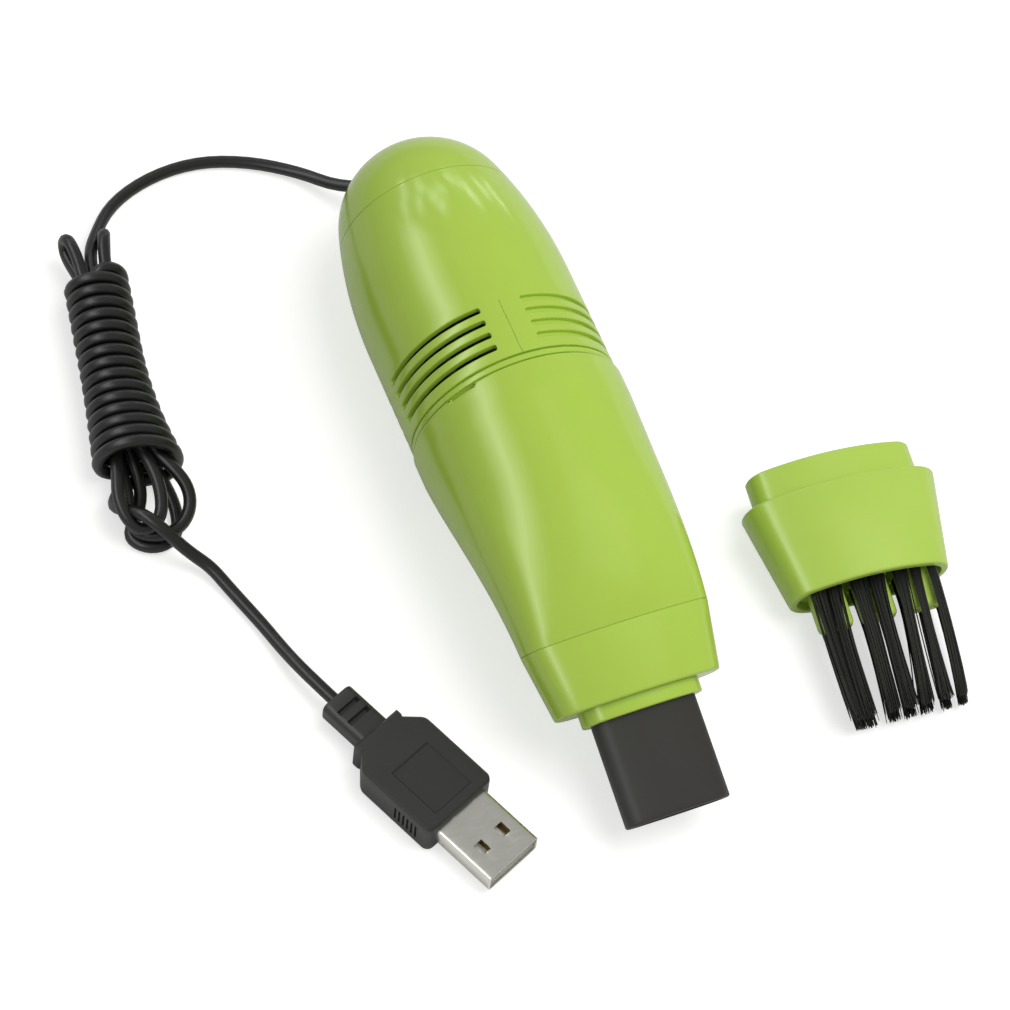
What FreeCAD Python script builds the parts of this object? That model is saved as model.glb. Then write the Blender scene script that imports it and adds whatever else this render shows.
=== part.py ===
import FreeCAD, Part
import math
import os

# A hand-held USB vacuum cleaner for desks, lying on its side with its cord, plug and spare brush head.
# Millimetres. Z is up, the floor is z = 0. The housing axis runs along Y: rear end at +Y, nozzle at -Y.
# y = 0 is the front edge of the rear housing. Housing and cup are drawn around the Y axis itself and are
# lifted to the axis height when they are written.

V = FreeCAD.Vector
O = V(0, 0, 0)
X = V(1, 0, 0)
Y = V(0, 1, 0)
Z = V(0, 0, 1)
HUGE = 400.0

# ---- driving dimensions ----

# rear housing
dome_radius = 20.0
dome_length = 59.2
dome_barrel = 22.0
dome_nose_radius = 17.0
shell_wall = 1.6
cap_seam_y = 43.0
seam_width = 0.35
seam_depth = 0.3
cap_lip_length = 2.6
cap_lip_wall = 1.2

# vent slots
slot_count = 4
slot_width = 1.2
slot_pitch = 2.72
slot_first_y = 2.71
slot_start_angle = 13.0
slot_end_angle = 80.0
blind_depth = 0.8

# ring joint between housing and cup
joint_gap = 0.35
bead_width = 1.2
bead_height = 0.8
bead_round = 0.3
locating_length = 1.6
locating_wall = 1.2
skirt_length = 6.0
skirt_wall = 1.5
inlet_radius = 10.0
guard_hub_radius = 3.0
guard_ring_radius = 6.4
guard_bar = 1.2
guard_bars = 6
guard_bite = 0.5

# dust cup, standing a little proud of the housing
cup_step = 0.4
cup_wall = 1.5
cup_straight = 7.0
cup_length = 47.6
cup_corner_share = 0.3
cup_edge_round = 0.6
cup_notch_width = 5.0
cup_notch_depth = 0.6
cup_notch_angle = -38.0
mouth_half_width = 17.7
mouth_half_height = 8.5
mouth_end_radius = 6.5
mouth_droop = 19.7
taper_power = 1.15
taper_shares = (0, 0.12, 0.5, 1)

# filter, seated in the skirt of the inlet plate
filter_frame_length = 3.2
filter_frame_wall = 2.2
filter_bar = 1.2
filter_tab = 3.0
filter_bag_length = 17.0
filter_tip_radius = 8.4
filter_cloth = 0.8

# fits
push_clearance = 0.2
filter_clearance = 0.4
spigot_clearance = 0.35
fixed_clearance = 0.1
running_clearance = 0.03

# accessory spigot, the same on nozzle and brush head
spigot_length = 6.5
spigot_wall = 1.3

# flat nozzle
collar_length = 12.6
collar_half_width = 15.7
collar_half_height = 7.8
collar_end_radius = 6.2
collar_plate = 1.6
collar_bevel = 0.5
sleeve_half_width = 11.35
sleeve_half_height = 5.8
sleeve_end_radius = 5.0
sleeve_reach = 2.75
sleeve_wall = 1.5
sleeve_flange_width = 1.2
sleeve_flange_thickness = 1.2
tube_reach = 19.0
tube_wall = 1.4

# brush head
head_half_width = 18.6
head_half_height = 9.2
head_end_radius = 7.0
head_front_half_width = 15.4
head_front_half_height = 7.6
head_front_end_radius = 5.8
head_length = 18.9
block_seat = 6.0
block_recess = 1.5
finger_count = 3
finger_width = 6.6
finger_height = 3.2
finger_gap = 1.8
finger_reach = 6.5
finger_corner = 1.0
air_slot_height = 9.0
tufts_per_finger = 2
tuft_pitch = 2.9
tuft_root_radius = 1.1
tuft_tip_radius = 1.7
tuft_clearance = 0.35
tuft_reach = 25.0
tuft_splay = 1.04
head_place_x = 52.8
head_place_y = -30.5
head_yaw = -4.9

# motor and fan
fan_radius = 15.0
fan_hub_radius = 3.2
fan_disc = 1.0
fan_blade = 0.9
fan_blades = 9
fan_eye_radius = 5.4
fan_blade_sweep = 36.0
fan_gap = 1.6
fan_tip_inset = 0.2
fan_early_sweep = 0.38
fan_length = 8.8
shaft_radius = 1.0
shaft_tail = 1.0
motor_plate_y = 12.3
motor_plate_thickness = 1.6
motor_radius = 10.05
motor_half_flat = 7.55
motor_length = 20.1
motor_wall = 0.8
end_cap_length = 4.0
end_cap_wall = 1.4
nose_radius = 3.0
tail_boss_radius = 3.2
tail_boss_length = 1.6
bearing_radius = 2.2
bearing_length = 2.2
magnet_thickness = 2.2
magnet_overhang = 1.5
magnet_half_height = 5.6
air_gap = 0.6
stack_start = 3.6
stack_rear = 5.5
pole_count = 3
pole_neck = 2.2
pole_shoe = 1.2
pole_half_angle = 47.0
hub_radius = 2.8
coil_half_width = 2.1
coil_overhang = 1.4
coil_clearance = 0.2
commutator_gap = 1.5
commutator_radius = 2.4
commutator_length = 4.0
commutator_slit = 0.4
brush_width = 1.8
brush_length = 3.6
terminal_length = 3.4
terminal_height = 2.4
terminal_thickness = 0.4
terminal_x = 5.5
terminal_z = 5.0
capacitor_radius = 1.7
capacitor_thickness = 1.6
capacitor_lead_radius = 0.25
motor_screw_pitch = 17.0
motor_screw_radius = 0.9
motor_screw_head_radius = 1.6
motor_screw_head = 1.0
motor_screw_depth = 0.7
motor_screw_slot = 0.4

# webs and bosses in the half shells
web_thickness = 0.7
web_depth = 1.9
cradle_y = 27.6
cradle_thickness = 1.4
boss_y = 23.5
boss_inset = 5.0
boss_radius = 2.6
screw_radius = 0.85
screw_hole_radius = 1.1
screw_depth = 8.0
screw_head_radius = 1.9
screw_head_height = 1.5
screw_head_x = 6.0
counterbore_radius = 2.15

# slide switch under the housing
switch_y = 35.0
switch_width = 3.7
switch_length = 8.6
switch_height = 3.5
switch_floor = 0.5
switch_wall = 0.9
switch_rim = 1.5
knob_width = 2.4
knob_length = 3.0
knob_proud = 0.5
knob_travel = 2.0
knob_engagement = 1.0
knob_ridge = 0.4
pin_radius = 0.35
pin_length = 1.3
pin_pitch = 2.5

# cord, its exit and its wound bundle
cord_radius = 1.2
cord_exit_drop = 12.0
exit_boss_radius = 3.8
exit_boss_start = 46.5
exit_face_y = 56.0
grommet_neck_radius = 2.2
grommet_flange_radius = 3.1
grommet_inner_radius = 2.8
grommet_flange = 0.9
cord_bore_clearance = 0.05
lead_radius = 0.5
lead_bow = 5.5
switch_lead_offsets = ((-4.0, 2.4, 0.3), (-6.4, 0.0, -8.0), (-7.6, 4.6, -1.5))
cord_lead_offsets = ((2.6, -4.0, 1.4), (6.6, 0.6, -5.5), (7.4, 4.8, 0.5))
bundle_x = -58.0
bundle_y = 63.5
bundle_yaw = -8.9
bundle_radius = 6.9
bundle_length = 45.0
bundle_round = 2.0
ear_length = 8.5
ear_left = -6.2
ear_right = 4.6
ear_height = 7.0
loop_length = 16.0
loop_left = -6.0
loop_right = 9.6
loop_height = 6.4

# USB plug, lying flat
plug_x = -47.7
plug_y = -36.9
plug_yaw = -66.0
relief_length = 9.8
relief_width = 7.0
relief_height = 5.0
relief_notch = 1.1
relief_notch_depth = 0.9
relief_notch_pitch = 2.6
relief_round = 1.5
overmould_length = 21.4
overmould_width = 16.0
overmould_height = 8.0
overmould_neck_width = 9.4
overmould_collar = 1.2
overmould_shoulder = 4.6
overmould_corner = 1.5
overmould_edge = 1.1
panel_length = 11.0
panel_width = 9.0
panel_depth = 0.3
panel_from_front = 2.0
rib_count = 6
ribs_from_front = 3.0
rib_pitch = 1.0
rib_width = 0.45
rib_depth = 0.35
usb_width = 12.0
usb_height = 4.5
usb_sheet = 0.3
usb_reach = 13.0
usb_root = 5.0
usb_hole_width = 2.0
usb_hole_length = 2.4
usb_hole_offset = 2.5
usb_hole_from_tip = 5.4
tongue_height = 1.9
tongue_clearance = 0.05
tongue_setback = 1.0
contact_width = 1.0
contact_thickness = 0.2
contact_length = 8.0
contact_setback = 1.0
contact_positions = (-3.5, -1.0, 1.0, 3.5)

# ---- derived values ----

cup_radius = dome_radius + cup_step
plate_radius = dome_radius - bead_height
axis_height = cup_radius
cup_rear_y = -(bead_width + 2 * joint_gap)
inner_radius = dome_radius - shell_wall
boss_drop = inner_radius - boss_inset
cup_inner_radius = cup_radius - cup_wall
skirt_radius = cup_inner_radius - push_clearance
spigot_half_width = mouth_half_width - cup_wall - spigot_clearance
spigot_half_height = mouth_half_height - cup_wall - spigot_clearance
spigot_end_radius = mouth_end_radius - cup_wall - spigot_clearance
bore_half_width = spigot_half_width - spigot_wall
bore_half_height = spigot_half_height - spigot_wall
bore_end_radius = spigot_end_radius - spigot_wall
fan_back_y = fan_gap + fan_length
motor_face_y = motor_plate_y + motor_plate_thickness
can_end_y = motor_face_y + motor_length
end_cap_y = can_end_y + end_cap_length
tail_y = end_cap_y + tail_boss_length
shaft_end_y = tail_y + shaft_tail
armature_radius = motor_radius - motor_wall - magnet_thickness - air_gap
stack_y = motor_face_y + stack_start
stack_length = can_end_y - stack_rear - stack_y
commutator_y = stack_y + stack_length + coil_overhang + commutator_gap
plug_height = overmould_height / 2
cord_exit_z = axis_height - cord_exit_drop


# ---- helpers ----

def shoulder_radius(radius, nose_radius, nose_y):
    """Radius of the arc that runs from the straight barrel into the nose sphere, tangent to both."""
    reach = nose_y - dome_barrel
    return (radius ** 2 + reach ** 2 - nose_radius ** 2) / (2 * (radius - nose_radius))


def dome_radius_at(y, inset=0.0):
    """Radius of the housing at y, or of its surface offset inwards by inset."""
    radius, nose_radius = dome_radius - inset, dome_nose_radius - inset
    nose_y = dome_length - dome_nose_radius
    shoulder = shoulder_radius(radius, nose_radius, nose_y)
    tangent_y = dome_barrel + (nose_y - dome_barrel) * shoulder / (shoulder - nose_radius)
    if y <= dome_barrel:
        return radius
    if y <= tangent_y:
        return radius - shoulder + math.sqrt(shoulder ** 2 - (y - dome_barrel) ** 2)
    return math.sqrt(max(0.0, nose_radius ** 2 - (y - nose_y) ** 2))


def rod(radius, y0, y1, x=0.0, z=0.0):
    return Part.makeCylinder(radius, y1 - y0, V(x, y0, z), Y)


def ring(outer, inner, y0, y1, x=0.0, z=0.0):
    return rod(outer, y0, y1, x, z).cut(rod(inner, y0, y1, x, z))


def block(x0, x1, y0, y1, z0, z1):
    return Part.makeBox(x1 - x0, y1 - y0, z1 - z0, V(x0, y0, z0))


def slab(y0, y1):
    return block(-HUGE, HUGE, y0, y1, -HUGE, HUGE)


def half_space(side):
    return block(min(0, side * HUGE), max(0, side * HUGE), -HUGE, HUGE, -HUGE, HUGE)


def turned(shape, axis, angle):
    copy = shape.copy()
    copy.rotate(O, axis, angle)
    return copy


def fused(shapes):
    return shapes[0].multiFuse(shapes[1:]) if len(shapes) > 1 else shapes[0]


def oval_wire(half_width, half_height, end_radius, y=0.0):
    """Closed oval of four tangent arcs in the plane at y: flat flanks above and below, tight ends."""
    if half_height - end_radius < 1e-6:
        flank, sine = half_height, math.sin(math.radians(25))
    else:
        spread = half_width - end_radius
        flank = (spread ** 2 + half_height ** 2 - end_radius ** 2) / (2 * (half_height - end_radius))
        sine = spread / (flank - end_radius)
    cosine = math.sqrt(1 - sine ** 2)
    px = flank * sine
    pz = half_height - flank * (1 - cosine)
    corners = [V(-px, y, pz), V(px, y, pz), V(px, y, -pz), V(-px, y, -pz)]
    middles = [V(0, y, half_height), V(half_width, y, 0), V(0, y, -half_height), V(-half_width, y, 0)]
    arcs = [Part.Arc(corners[i], middles[i], corners[(i + 1) % 4]).toShape() for i in range(4)]
    return Part.Wire(arcs)


def oval_bar(half_width, half_height, end_radius, y0, y1):
    face = Part.Face(oval_wire(half_width, half_height, end_radius, y0))
    return face.extrude(V(0, y1 - y0, 0))


def bevelled_oval(front, seat, y_front, bevel, seat_bevel=0.0):
    """Tapering oval bar between y_front and 0 with a bevelled front rim and, if asked, a bevelled seat rim."""
    def between(share):
        return [s + (f - s) * share for f, s in zip(front, seat)]

    sections = [oval_wire(*[size - bevel for size in front], y_front)]
    sections.append(oval_wire(*between(1 - bevel / -y_front), y_front + bevel))
    if seat_bevel:
        sections.append(oval_wire(*between(seat_bevel / -y_front), -seat_bevel))
        sections.append(oval_wire(*[size - seat_bevel for size in seat], 0))
    else:
        sections.append(oval_wire(*seat, 0))
    return Part.makeLoft(sections, True, True)


def outer_edges(shape, y, reach):
    """Edges that lie in the plane y, farther than reach from the axis."""
    found = []
    for edge in shape.Edges:
        box = edge.BoundBox
        if abs(box.YMin - y) < 1e-4 and abs(box.YMax - y) < 1e-4:
            point = edge.valueAt((edge.FirstParameter + edge.LastParameter) / 2)
            if math.hypot(point.x, point.z) > reach:
                found.append(edge)
    return found


def tube(points, radius, name):
    """Round bar along straight runs that tangent arcs join."""
    nodes = [V(*p) for p in points]
    runs = [(b - a).Length for a, b in zip(nodes, nodes[1:])]
    edges = []
    start = nodes[0]
    radii = []
    length = 0.0
    for i in range(1, len(nodes) - 1):
        before = (nodes[i] - nodes[i - 1]).normalize()
        after = (nodes[i + 1] - nodes[i]).normalize()
        reach = 0.45 * min(runs[i - 1], runs[i])
        half_turn = before.getAngle(after) / 2
        radii.append(reach / math.tan(half_turn))
        enter = nodes[i] - before * reach
        leave = nodes[i] + after * reach
        inward = (after - before).normalize()
        centre = nodes[i] + inward * math.hypot(reach, radii[-1])
        middle = centre - inward * radii[-1]
        edges.append(Part.LineSegment(start, enter).toShape())
        edges.append(Part.Arc(enter, middle, leave).toShape())
        length += (enter - start).Length + 2 * half_turn * radii[-1]
        start = leave
    edges.append(Part.LineSegment(start, nodes[-1]).toShape())
    length += (nodes[-1] - start).Length
    path = Part.Wire(edges)
    section = Part.Wire(Part.makeCircle(radius, nodes[0], nodes[1] - nodes[0]))
    solid = path.makePipeShell([section], True, False)
    expected = math.pi * radius ** 2 * length
    print(name, "bend radii", [round(r, 1) for r in radii], "length", round(length, 1),
          "volume ratio", round(solid.Volume / expected, 4))
    return solid


# ---- rear housing ----

def dome_solid(inset):
    """Straight barrel, long shoulder arc and nose sphere, revolved about the Y axis."""
    radius, nose_radius = dome_radius - inset, dome_nose_radius - inset
    nose_y = dome_length - dome_nose_radius
    shoulder = shoulder_radius(radius, nose_radius, nose_y)
    tangent_y = dome_barrel + (nose_y - dome_barrel) * shoulder / (shoulder - nose_radius)
    middle_y = (dome_barrel + tangent_y) / 2
    corner = V(radius, dome_barrel, 0)
    tangent = V(dome_radius_at(tangent_y, inset), tangent_y, 0)
    tip = V(0, nose_y + nose_radius, 0)
    nose_middle_y = nose_y + nose_radius * 0.8
    edges = [Part.LineSegment(O, V(radius, 0, 0)), Part.LineSegment(V(radius, 0, 0), corner)]
    edges.append(Part.Arc(corner, V(dome_radius_at(middle_y, inset), middle_y, 0), tangent))
    edges.append(Part.Arc(tangent, V(dome_radius_at(nose_middle_y, inset), nose_middle_y, 0), tip))
    edges.append(Part.LineSegment(tip, O))
    return Part.Face(Part.Wire([edge.toShape() for edge in edges])).revolve(O, Y, 360)


dome_inside = dome_solid(shell_wall)
dome_wall = dome_solid(0).cut(dome_inside)


def vent_slot(y, start, end, inner):
    """One slot with round ends, cut through the wall from radius inner outwards."""
    outer = dome_radius + 1
    half = slot_width / 2
    corners = [V(0, y - half, inner), V(0, y + half, inner), V(0, y + half, outer), V(0, y - half, outer)]
    face = turned(Part.Face(Part.makePolygon(corners + corners[:1])), Y, start)
    pieces = [face.revolve(O, Y, end - start)]
    for angle in (start, end):
        pieces.append(turned(Part.makeCylinder(half, outer - inner, V(0, y, inner), Z), Y, angle))
    return fused(pieces)


def vent_slots(side, inner):
    slots = []
    for k in range(slot_count):
        y = slot_first_y + k * slot_pitch
        for start, end in ((slot_start_angle, slot_end_angle), (180 - slot_end_angle, 180 - slot_start_angle)):
            low, high = sorted((side * start, side * end))
            slots.append(vent_slot(y, low, high, inner))
    return slots


def can_profile(radius, half_flat, y0, y1):
    """Motor section: a round bar with a flat above and below."""
    return rod(radius, y0, y1).common(block(-HUGE, HUGE, y0, y1, -half_flat, half_flat))


def switch_seat_z():
    rear = switch_y + switch_length / 2
    return -dome_radius_at(rear, shell_wall) + switch_floor


def housing_inner():
    """Webs, motor cradle, screw boss and switch seat, still in one piece over both halves."""
    plate_gap = fixed_clearance / 2
    hole = rod(inner_radius - web_depth, 0, cap_seam_y)
    pieces = []
    for y0 in (motor_plate_y - plate_gap - web_thickness, motor_face_y + plate_gap):
        pieces.append(dome_inside.common(slab(y0, y0 + web_thickness)).cut(hole))
    cradle = dome_inside.common(slab(cradle_y, cradle_y + cradle_thickness))
    clearance = fixed_clearance
    pieces.append(cradle.cut(can_profile(motor_radius + clearance, motor_half_flat + clearance, 0, cap_seam_y)))
    boss = Part.makeCylinder(boss_radius, 2 * dome_radius, V(-dome_radius, boss_y, -boss_drop), X)
    pieces.append(boss.common(dome_inside))
    half_x = switch_width / 2 + fixed_clearance + switch_wall
    half_y = switch_length / 2 + fixed_clearance + switch_wall
    seat_z = switch_seat_z()
    seat = block(-half_x, half_x, switch_y - half_y, switch_y + half_y, -dome_radius, seat_z + switch_rim)
    pieces.append(seat.common(dome_inside))
    return pieces


def housing_cuts():
    """Switch pocket and knob slot, on the centre plane."""
    half_x = switch_width / 2 + fixed_clearance
    half_y = switch_length / 2 + fixed_clearance
    seat_z = switch_seat_z()
    pocket = block(-half_x, half_x, switch_y - half_y, switch_y + half_y, seat_z, 0)
    knob_x = knob_width / 2 + push_clearance
    knob_y = (knob_length + knob_travel) / 2 + push_clearance
    slot = block(-knob_x, knob_x, switch_y - knob_y, switch_y + knob_y, -dome_radius - 1, seat_z + 1)
    return [pocket, slot]


def rear_shell(side):
    wall = dome_wall.common(slab(0, cap_seam_y))
    body = fused([wall] + housing_inner()).cut(housing_cuts())
    body = body.common(half_space(side))
    if side < 0:
        pilot = Part.makeCylinder(screw_radius, screw_depth + 0.5, V(0, boss_y, -boss_drop), -X)
        return body.cut(vent_slots(side, inner_radius - web_depth) + [pilot])
    hole = Part.makeCylinder(screw_hole_radius, screw_head_x, V(0, boss_y, -boss_drop), X)
    counterbore = Part.makeCylinder(counterbore_radius, dome_radius, V(screw_head_x, boss_y, -boss_drop), X)
    return body.cut(vent_slots(side, dome_radius - blind_depth) + [hole, counterbore])


def shell_screw():
    shank = Part.makeCylinder(screw_radius, screw_depth + screw_head_x, V(-screw_depth, boss_y, -boss_drop), X)
    head = Part.makeCylinder(screw_head_radius, screw_head_height, V(screw_head_x, boss_y, -boss_drop), X)
    bar = screw_head_radius / 4
    cross = [block(screw_head_x + screw_head_height / 2, HUGE, boss_y - bar * a, boss_y + bar * a,
                   -boss_drop - bar * b, -boss_drop + bar * b) for a, b in ((1, 3), (3, 1))]
    return shank.fuse(head).cut(cross)


def rear_cap():
    """Rounded end with a locating lip in the half shells and a boss for the cord."""
    skin = dome_wall.common(slab(cap_seam_y, dome_length))
    edge_radius = dome_radius_at(cap_seam_y)
    seam = ring(dome_radius + 1, edge_radius - seam_depth, cap_seam_y, cap_seam_y + seam_width)
    lip_radius = dome_radius_at(cap_seam_y, shell_wall) - fixed_clearance
    lip = ring(lip_radius, lip_radius - cap_lip_wall, cap_seam_y - cap_lip_length,
               cap_seam_y + 2 * cap_lip_wall)
    boss = rod(exit_boss_radius, exit_boss_start, exit_face_y, 0, -cord_exit_drop)
    face = rod(exit_boss_radius, exit_face_y, dome_length + 1, 0, -cord_exit_drop)
    bore = rod(grommet_neck_radius + fixed_clearance / 2, exit_boss_start - 1, dome_length, 0, -cord_exit_drop)
    return fused([skin.cut(seam), lip, boss]).cut([face, bore])


def cord_grommet():
    neck = rod(grommet_neck_radius, exit_boss_start, exit_face_y, 0, -cord_exit_drop)
    inner = rod(grommet_inner_radius, exit_boss_start - grommet_flange, exit_boss_start, 0, -cord_exit_drop)
    outer = rod(grommet_flange_radius, exit_face_y, exit_face_y + grommet_flange, 0, -cord_exit_drop)
    bore = rod(cord_radius + cord_bore_clearance, 0, dome_length, 0, -cord_exit_drop)
    return fused([neck, inner, outer]).cut(bore)


def inlet_plate():
    """Bulkhead between fan and cup: outer bead, locating ring, cup skirt and a spoked air inlet."""
    disc = rod(plate_radius, cup_rear_y, 0)
    bead = rod(dome_radius, cup_rear_y + joint_gap, -joint_gap)
    bead = bead.makeFillet(bead_round, [e for e in bead.Edges if e.Closed])
    locating_radius = inner_radius - fixed_clearance
    locating = ring(locating_radius, locating_radius - locating_wall, 0, locating_length)
    skirt = ring(skirt_radius, skirt_radius - skirt_wall, cup_rear_y - skirt_length, cup_rear_y)
    opening = rod(inlet_radius, cup_rear_y, 0)
    grid = [rod(guard_hub_radius, cup_rear_y, 0)]
    grid.append(ring(guard_ring_radius + guard_bar, guard_ring_radius, cup_rear_y, 0))
    for k in range(guard_bars):
        bar = block(0, inlet_radius + guard_bite, cup_rear_y, 0, -guard_bar / 2, guard_bar / 2)
        grid.append(turned(bar, Y, 360 / guard_bars * k))
    return fused([fused([disc, bead]).cut(opening), locating, skirt] + grid)


# ---- motor, in the housing ----

def motor_plate():
    disc = rod(inner_radius - fixed_clearance, motor_plate_y, motor_face_y)
    cuts = [rod(nose_radius + fixed_clearance, motor_plate_y, motor_face_y)]
    for side in (-1, 1):
        x = side * motor_screw_pitch / 2
        cuts.append(rod(motor_screw_radius + fixed_clearance, motor_plate_y, motor_face_y, x))
    return disc.cut(cuts)


def motor_can():
    shell = can_profile(motor_radius, motor_half_flat, motor_face_y, can_end_y)
    inside = can_profile(motor_radius - motor_wall, motor_half_flat - motor_wall,
                         motor_face_y + motor_wall, can_end_y)
    nose = rod(nose_radius, motor_plate_y, motor_face_y + bearing_length - motor_plate_thickness)
    bearing_hole = rod(bearing_radius, motor_plate_y, motor_face_y + bearing_length)
    cuts = [bearing_hole]
    for side in (-1, 1):
        x = side * motor_screw_pitch / 2
        cuts.append(rod(motor_screw_radius, motor_face_y, motor_face_y + motor_wall, x))
    return shell.cut(inside).fuse(nose).cut(cuts)


def motor_end_cap():
    cap = can_profile(motor_radius, motor_half_flat, can_end_y, end_cap_y)
    radius = motor_radius - motor_wall - end_cap_wall / 2
    flat = motor_half_flat - motor_wall - end_cap_wall / 2
    cavity = can_profile(radius, flat, can_end_y, end_cap_y - end_cap_wall)
    boss = rod(tail_boss_radius, end_cap_y - end_cap_wall, tail_y)
    pocket = rod(bearing_radius, can_end_y, tail_y - end_cap_wall / 2)
    hole = rod(shaft_radius + running_clearance, can_end_y, tail_y)
    return cap.cut(cavity).fuse(boss).cut([pocket, hole])


def motor_bearings():
    bore = shaft_radius + running_clearance
    front = ring(bearing_radius, bore, motor_plate_y, motor_plate_y + bearing_length)
    rear_end = tail_y - end_cap_wall / 2
    return Part.makeCompound([front, ring(bearing_radius, bore, rear_end - bearing_length, rear_end)])


def motor_magnets():
    outer = motor_radius - motor_wall
    full = ring(outer, outer - magnet_thickness, stack_y - magnet_overhang,
                stack_y + stack_length + magnet_overhang)
    band = full.common(block(-HUGE, HUGE, 0, HUGE, -magnet_half_height, magnet_half_height))
    return Part.makeCompound([band.common(half_space(side)) for side in (-1, 1)])


def motor_brushes():
    """Carbon brushes above and below the commutator, on the end cap."""
    y0 = end_cap_y - end_cap_wall - brush_length
    z0 = commutator_radius + running_clearance
    z1 = motor_half_flat - motor_wall - end_cap_wall / 2
    upper = block(-brush_width / 2, brush_width / 2, y0, end_cap_y - end_cap_wall, z0, z1)
    return Part.makeCompound([upper, turned(upper, Y, 180)])


def motor_terminals():
    tabs = []
    for side in (-1, 1):
        x = side * terminal_x
        tabs.append(block(x - terminal_thickness / 2, x + terminal_thickness / 2, end_cap_y,
                          end_cap_y + terminal_length, terminal_z - terminal_height / 2,
                          terminal_z + terminal_height / 2))
    return Part.makeCompound(tabs)


def capacitor():
    disc = rod(capacitor_radius, end_cap_y, end_cap_y + capacitor_thickness, 0, terminal_z)
    span = terminal_x - terminal_thickness / 2
    lead_y = end_cap_y + capacitor_thickness / 2
    legs = Part.makeCylinder(capacitor_lead_radius, 2 * span, V(-span, lead_y, terminal_z), X)
    return disc.fuse(legs)


def motor_screws():
    screws = []
    for side in (-1, 1):
        x = side * motor_screw_pitch / 2
        shank = rod(motor_screw_radius, motor_plate_y, motor_face_y + motor_screw_depth, x)
        head = rod(motor_screw_head_radius, motor_plate_y - motor_screw_head, motor_plate_y, x)
        slot = block(x - motor_screw_head_radius, x + motor_screw_head_radius, motor_plate_y - motor_screw_head,
                     motor_plate_y - motor_screw_head / 2, -motor_screw_slot / 2, motor_screw_slot / 2)
        screws.append(shank.fuse(head).cut(slot))
    return Part.makeCompound(screws)


# ---- rotor ----

def motor_shaft():
    return rod(shaft_radius, fan_gap, shaft_end_y)


def armature():
    """Stack of three T-shaped poles around the shaft."""
    y0, y1 = stack_y, stack_y + stack_length
    shoe_inner = armature_radius - pole_shoe
    pieces = [rod(hub_radius, y0, y1)]
    neck = block(-pole_neck / 2, pole_neck / 2, y0, y1, 0, shoe_inner + pole_shoe / 2)
    corners = [V(0, y0, shoe_inner), V(0, y1, shoe_inner), V(0, y1, armature_radius), V(0, y0, armature_radius)]
    section = turned(Part.Face(Part.makePolygon(corners + corners[:1])), Y, -pole_half_angle)
    shoe = section.revolve(O, Y, 2 * pole_half_angle)
    for k in range(pole_count):
        pieces.append(turned(neck, Y, 360 / pole_count * k))
        pieces.append(turned(shoe, Y, 360 / pole_count * k))
    return fused(pieces).cut(rod(shaft_radius, y0, y1))


def windings():
    """One copper coil around each pole neck."""
    y0, y1 = stack_y, stack_y + stack_length
    z0 = hub_radius + coil_clearance
    z1 = math.sqrt((armature_radius - pole_shoe - coil_clearance) ** 2 - coil_half_width ** 2)
    coil = block(-coil_half_width, coil_half_width, y0 - coil_overhang, y1 + coil_overhang, z0, z1)
    neck = block(-pole_neck / 2, pole_neck / 2, y0, y1, z0, z1)
    coil = coil.makeFillet(coil_overhang * 0.6, [e for e in coil.Edges if abs(e.tangentAt(0).z) > 0.9])
    coil = coil.cut(neck)
    return Part.makeCompound([turned(coil, Y, 360 / pole_count * k) for k in range(pole_count)])


def commutator():
    body = ring(commutator_radius, shaft_radius, commutator_y, commutator_y + commutator_length)
    slit = block(-commutator_slit / 2, commutator_slit / 2, commutator_y, commutator_y + commutator_length,
                 (shaft_radius + commutator_radius) / 2, commutator_radius + 1)
    return body.cut([turned(slit, Y, 60 + 360 / pole_count * k) for k in range(pole_count)])


def impeller():
    """Centrifugal fan: disc at the motor side, swept blades open towards the inlet."""
    disc = rod(fan_radius, fan_back_y - fan_disc, fan_back_y)
    hub = rod(fan_hub_radius, fan_gap, fan_back_y)

    def at(radius, degrees):
        angle = math.radians(degrees)
        return V(radius * math.sin(angle), fan_gap, radius * math.cos(angle))

    middle_radius = (fan_eye_radius + fan_radius) / 2
    radii = (fan_eye_radius, middle_radius, fan_radius - fan_tip_inset)
    sweeps = (0, fan_blade_sweep * fan_early_sweep, fan_blade_sweep)
    sides = []
    for sign in (-1, 1):
        shift = [math.degrees(fan_blade / 2 / r) * sign for r in radii]
        sides.append([at(r, s + d) for r, s, d in zip(radii, sweeps, shift)])
    outline = [Part.Arc(*sides[0]).toShape(), Part.LineSegment(sides[0][2], sides[1][2]).toShape(),
               Part.Arc(*reversed(sides[1])).toShape(), Part.LineSegment(sides[1][0], sides[0][0]).toShape()]
    blade = Part.Face(Part.Wire(outline)).extrude(V(0, fan_length - fan_disc / 2, 0))
    blades = [turned(blade, Y, 360 / fan_blades * k) for k in range(fan_blades)]
    bore = rod(shaft_radius, fan_gap, fan_back_y)
    return fused([disc, hub] + blades).cut(bore)


# ---- slide switch ----

def switch_body():
    z0 = switch_seat_z()
    half_y = switch_length / 2
    body = block(-switch_width / 2, switch_width / 2, switch_y - half_y, switch_y + half_y,
                 z0, z0 + switch_height)
    half_slot = (knob_length + knob_travel) / 2 + push_clearance
    half_x = knob_width / 2 + push_clearance
    slot = block(-half_x, half_x, switch_y - half_slot, switch_y + half_slot, z0,
                 z0 + knob_engagement + push_clearance)
    return body.cut(slot)


def switch_terminals():
    z0 = switch_seat_z() + switch_height
    places = [V(0, switch_y + k * pin_pitch, z0) for k in (-1, 0, 1)]
    pins = [Part.makeCylinder(pin_radius, pin_length, place, Z) for place in places]
    return Part.makeCompound(pins)


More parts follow.
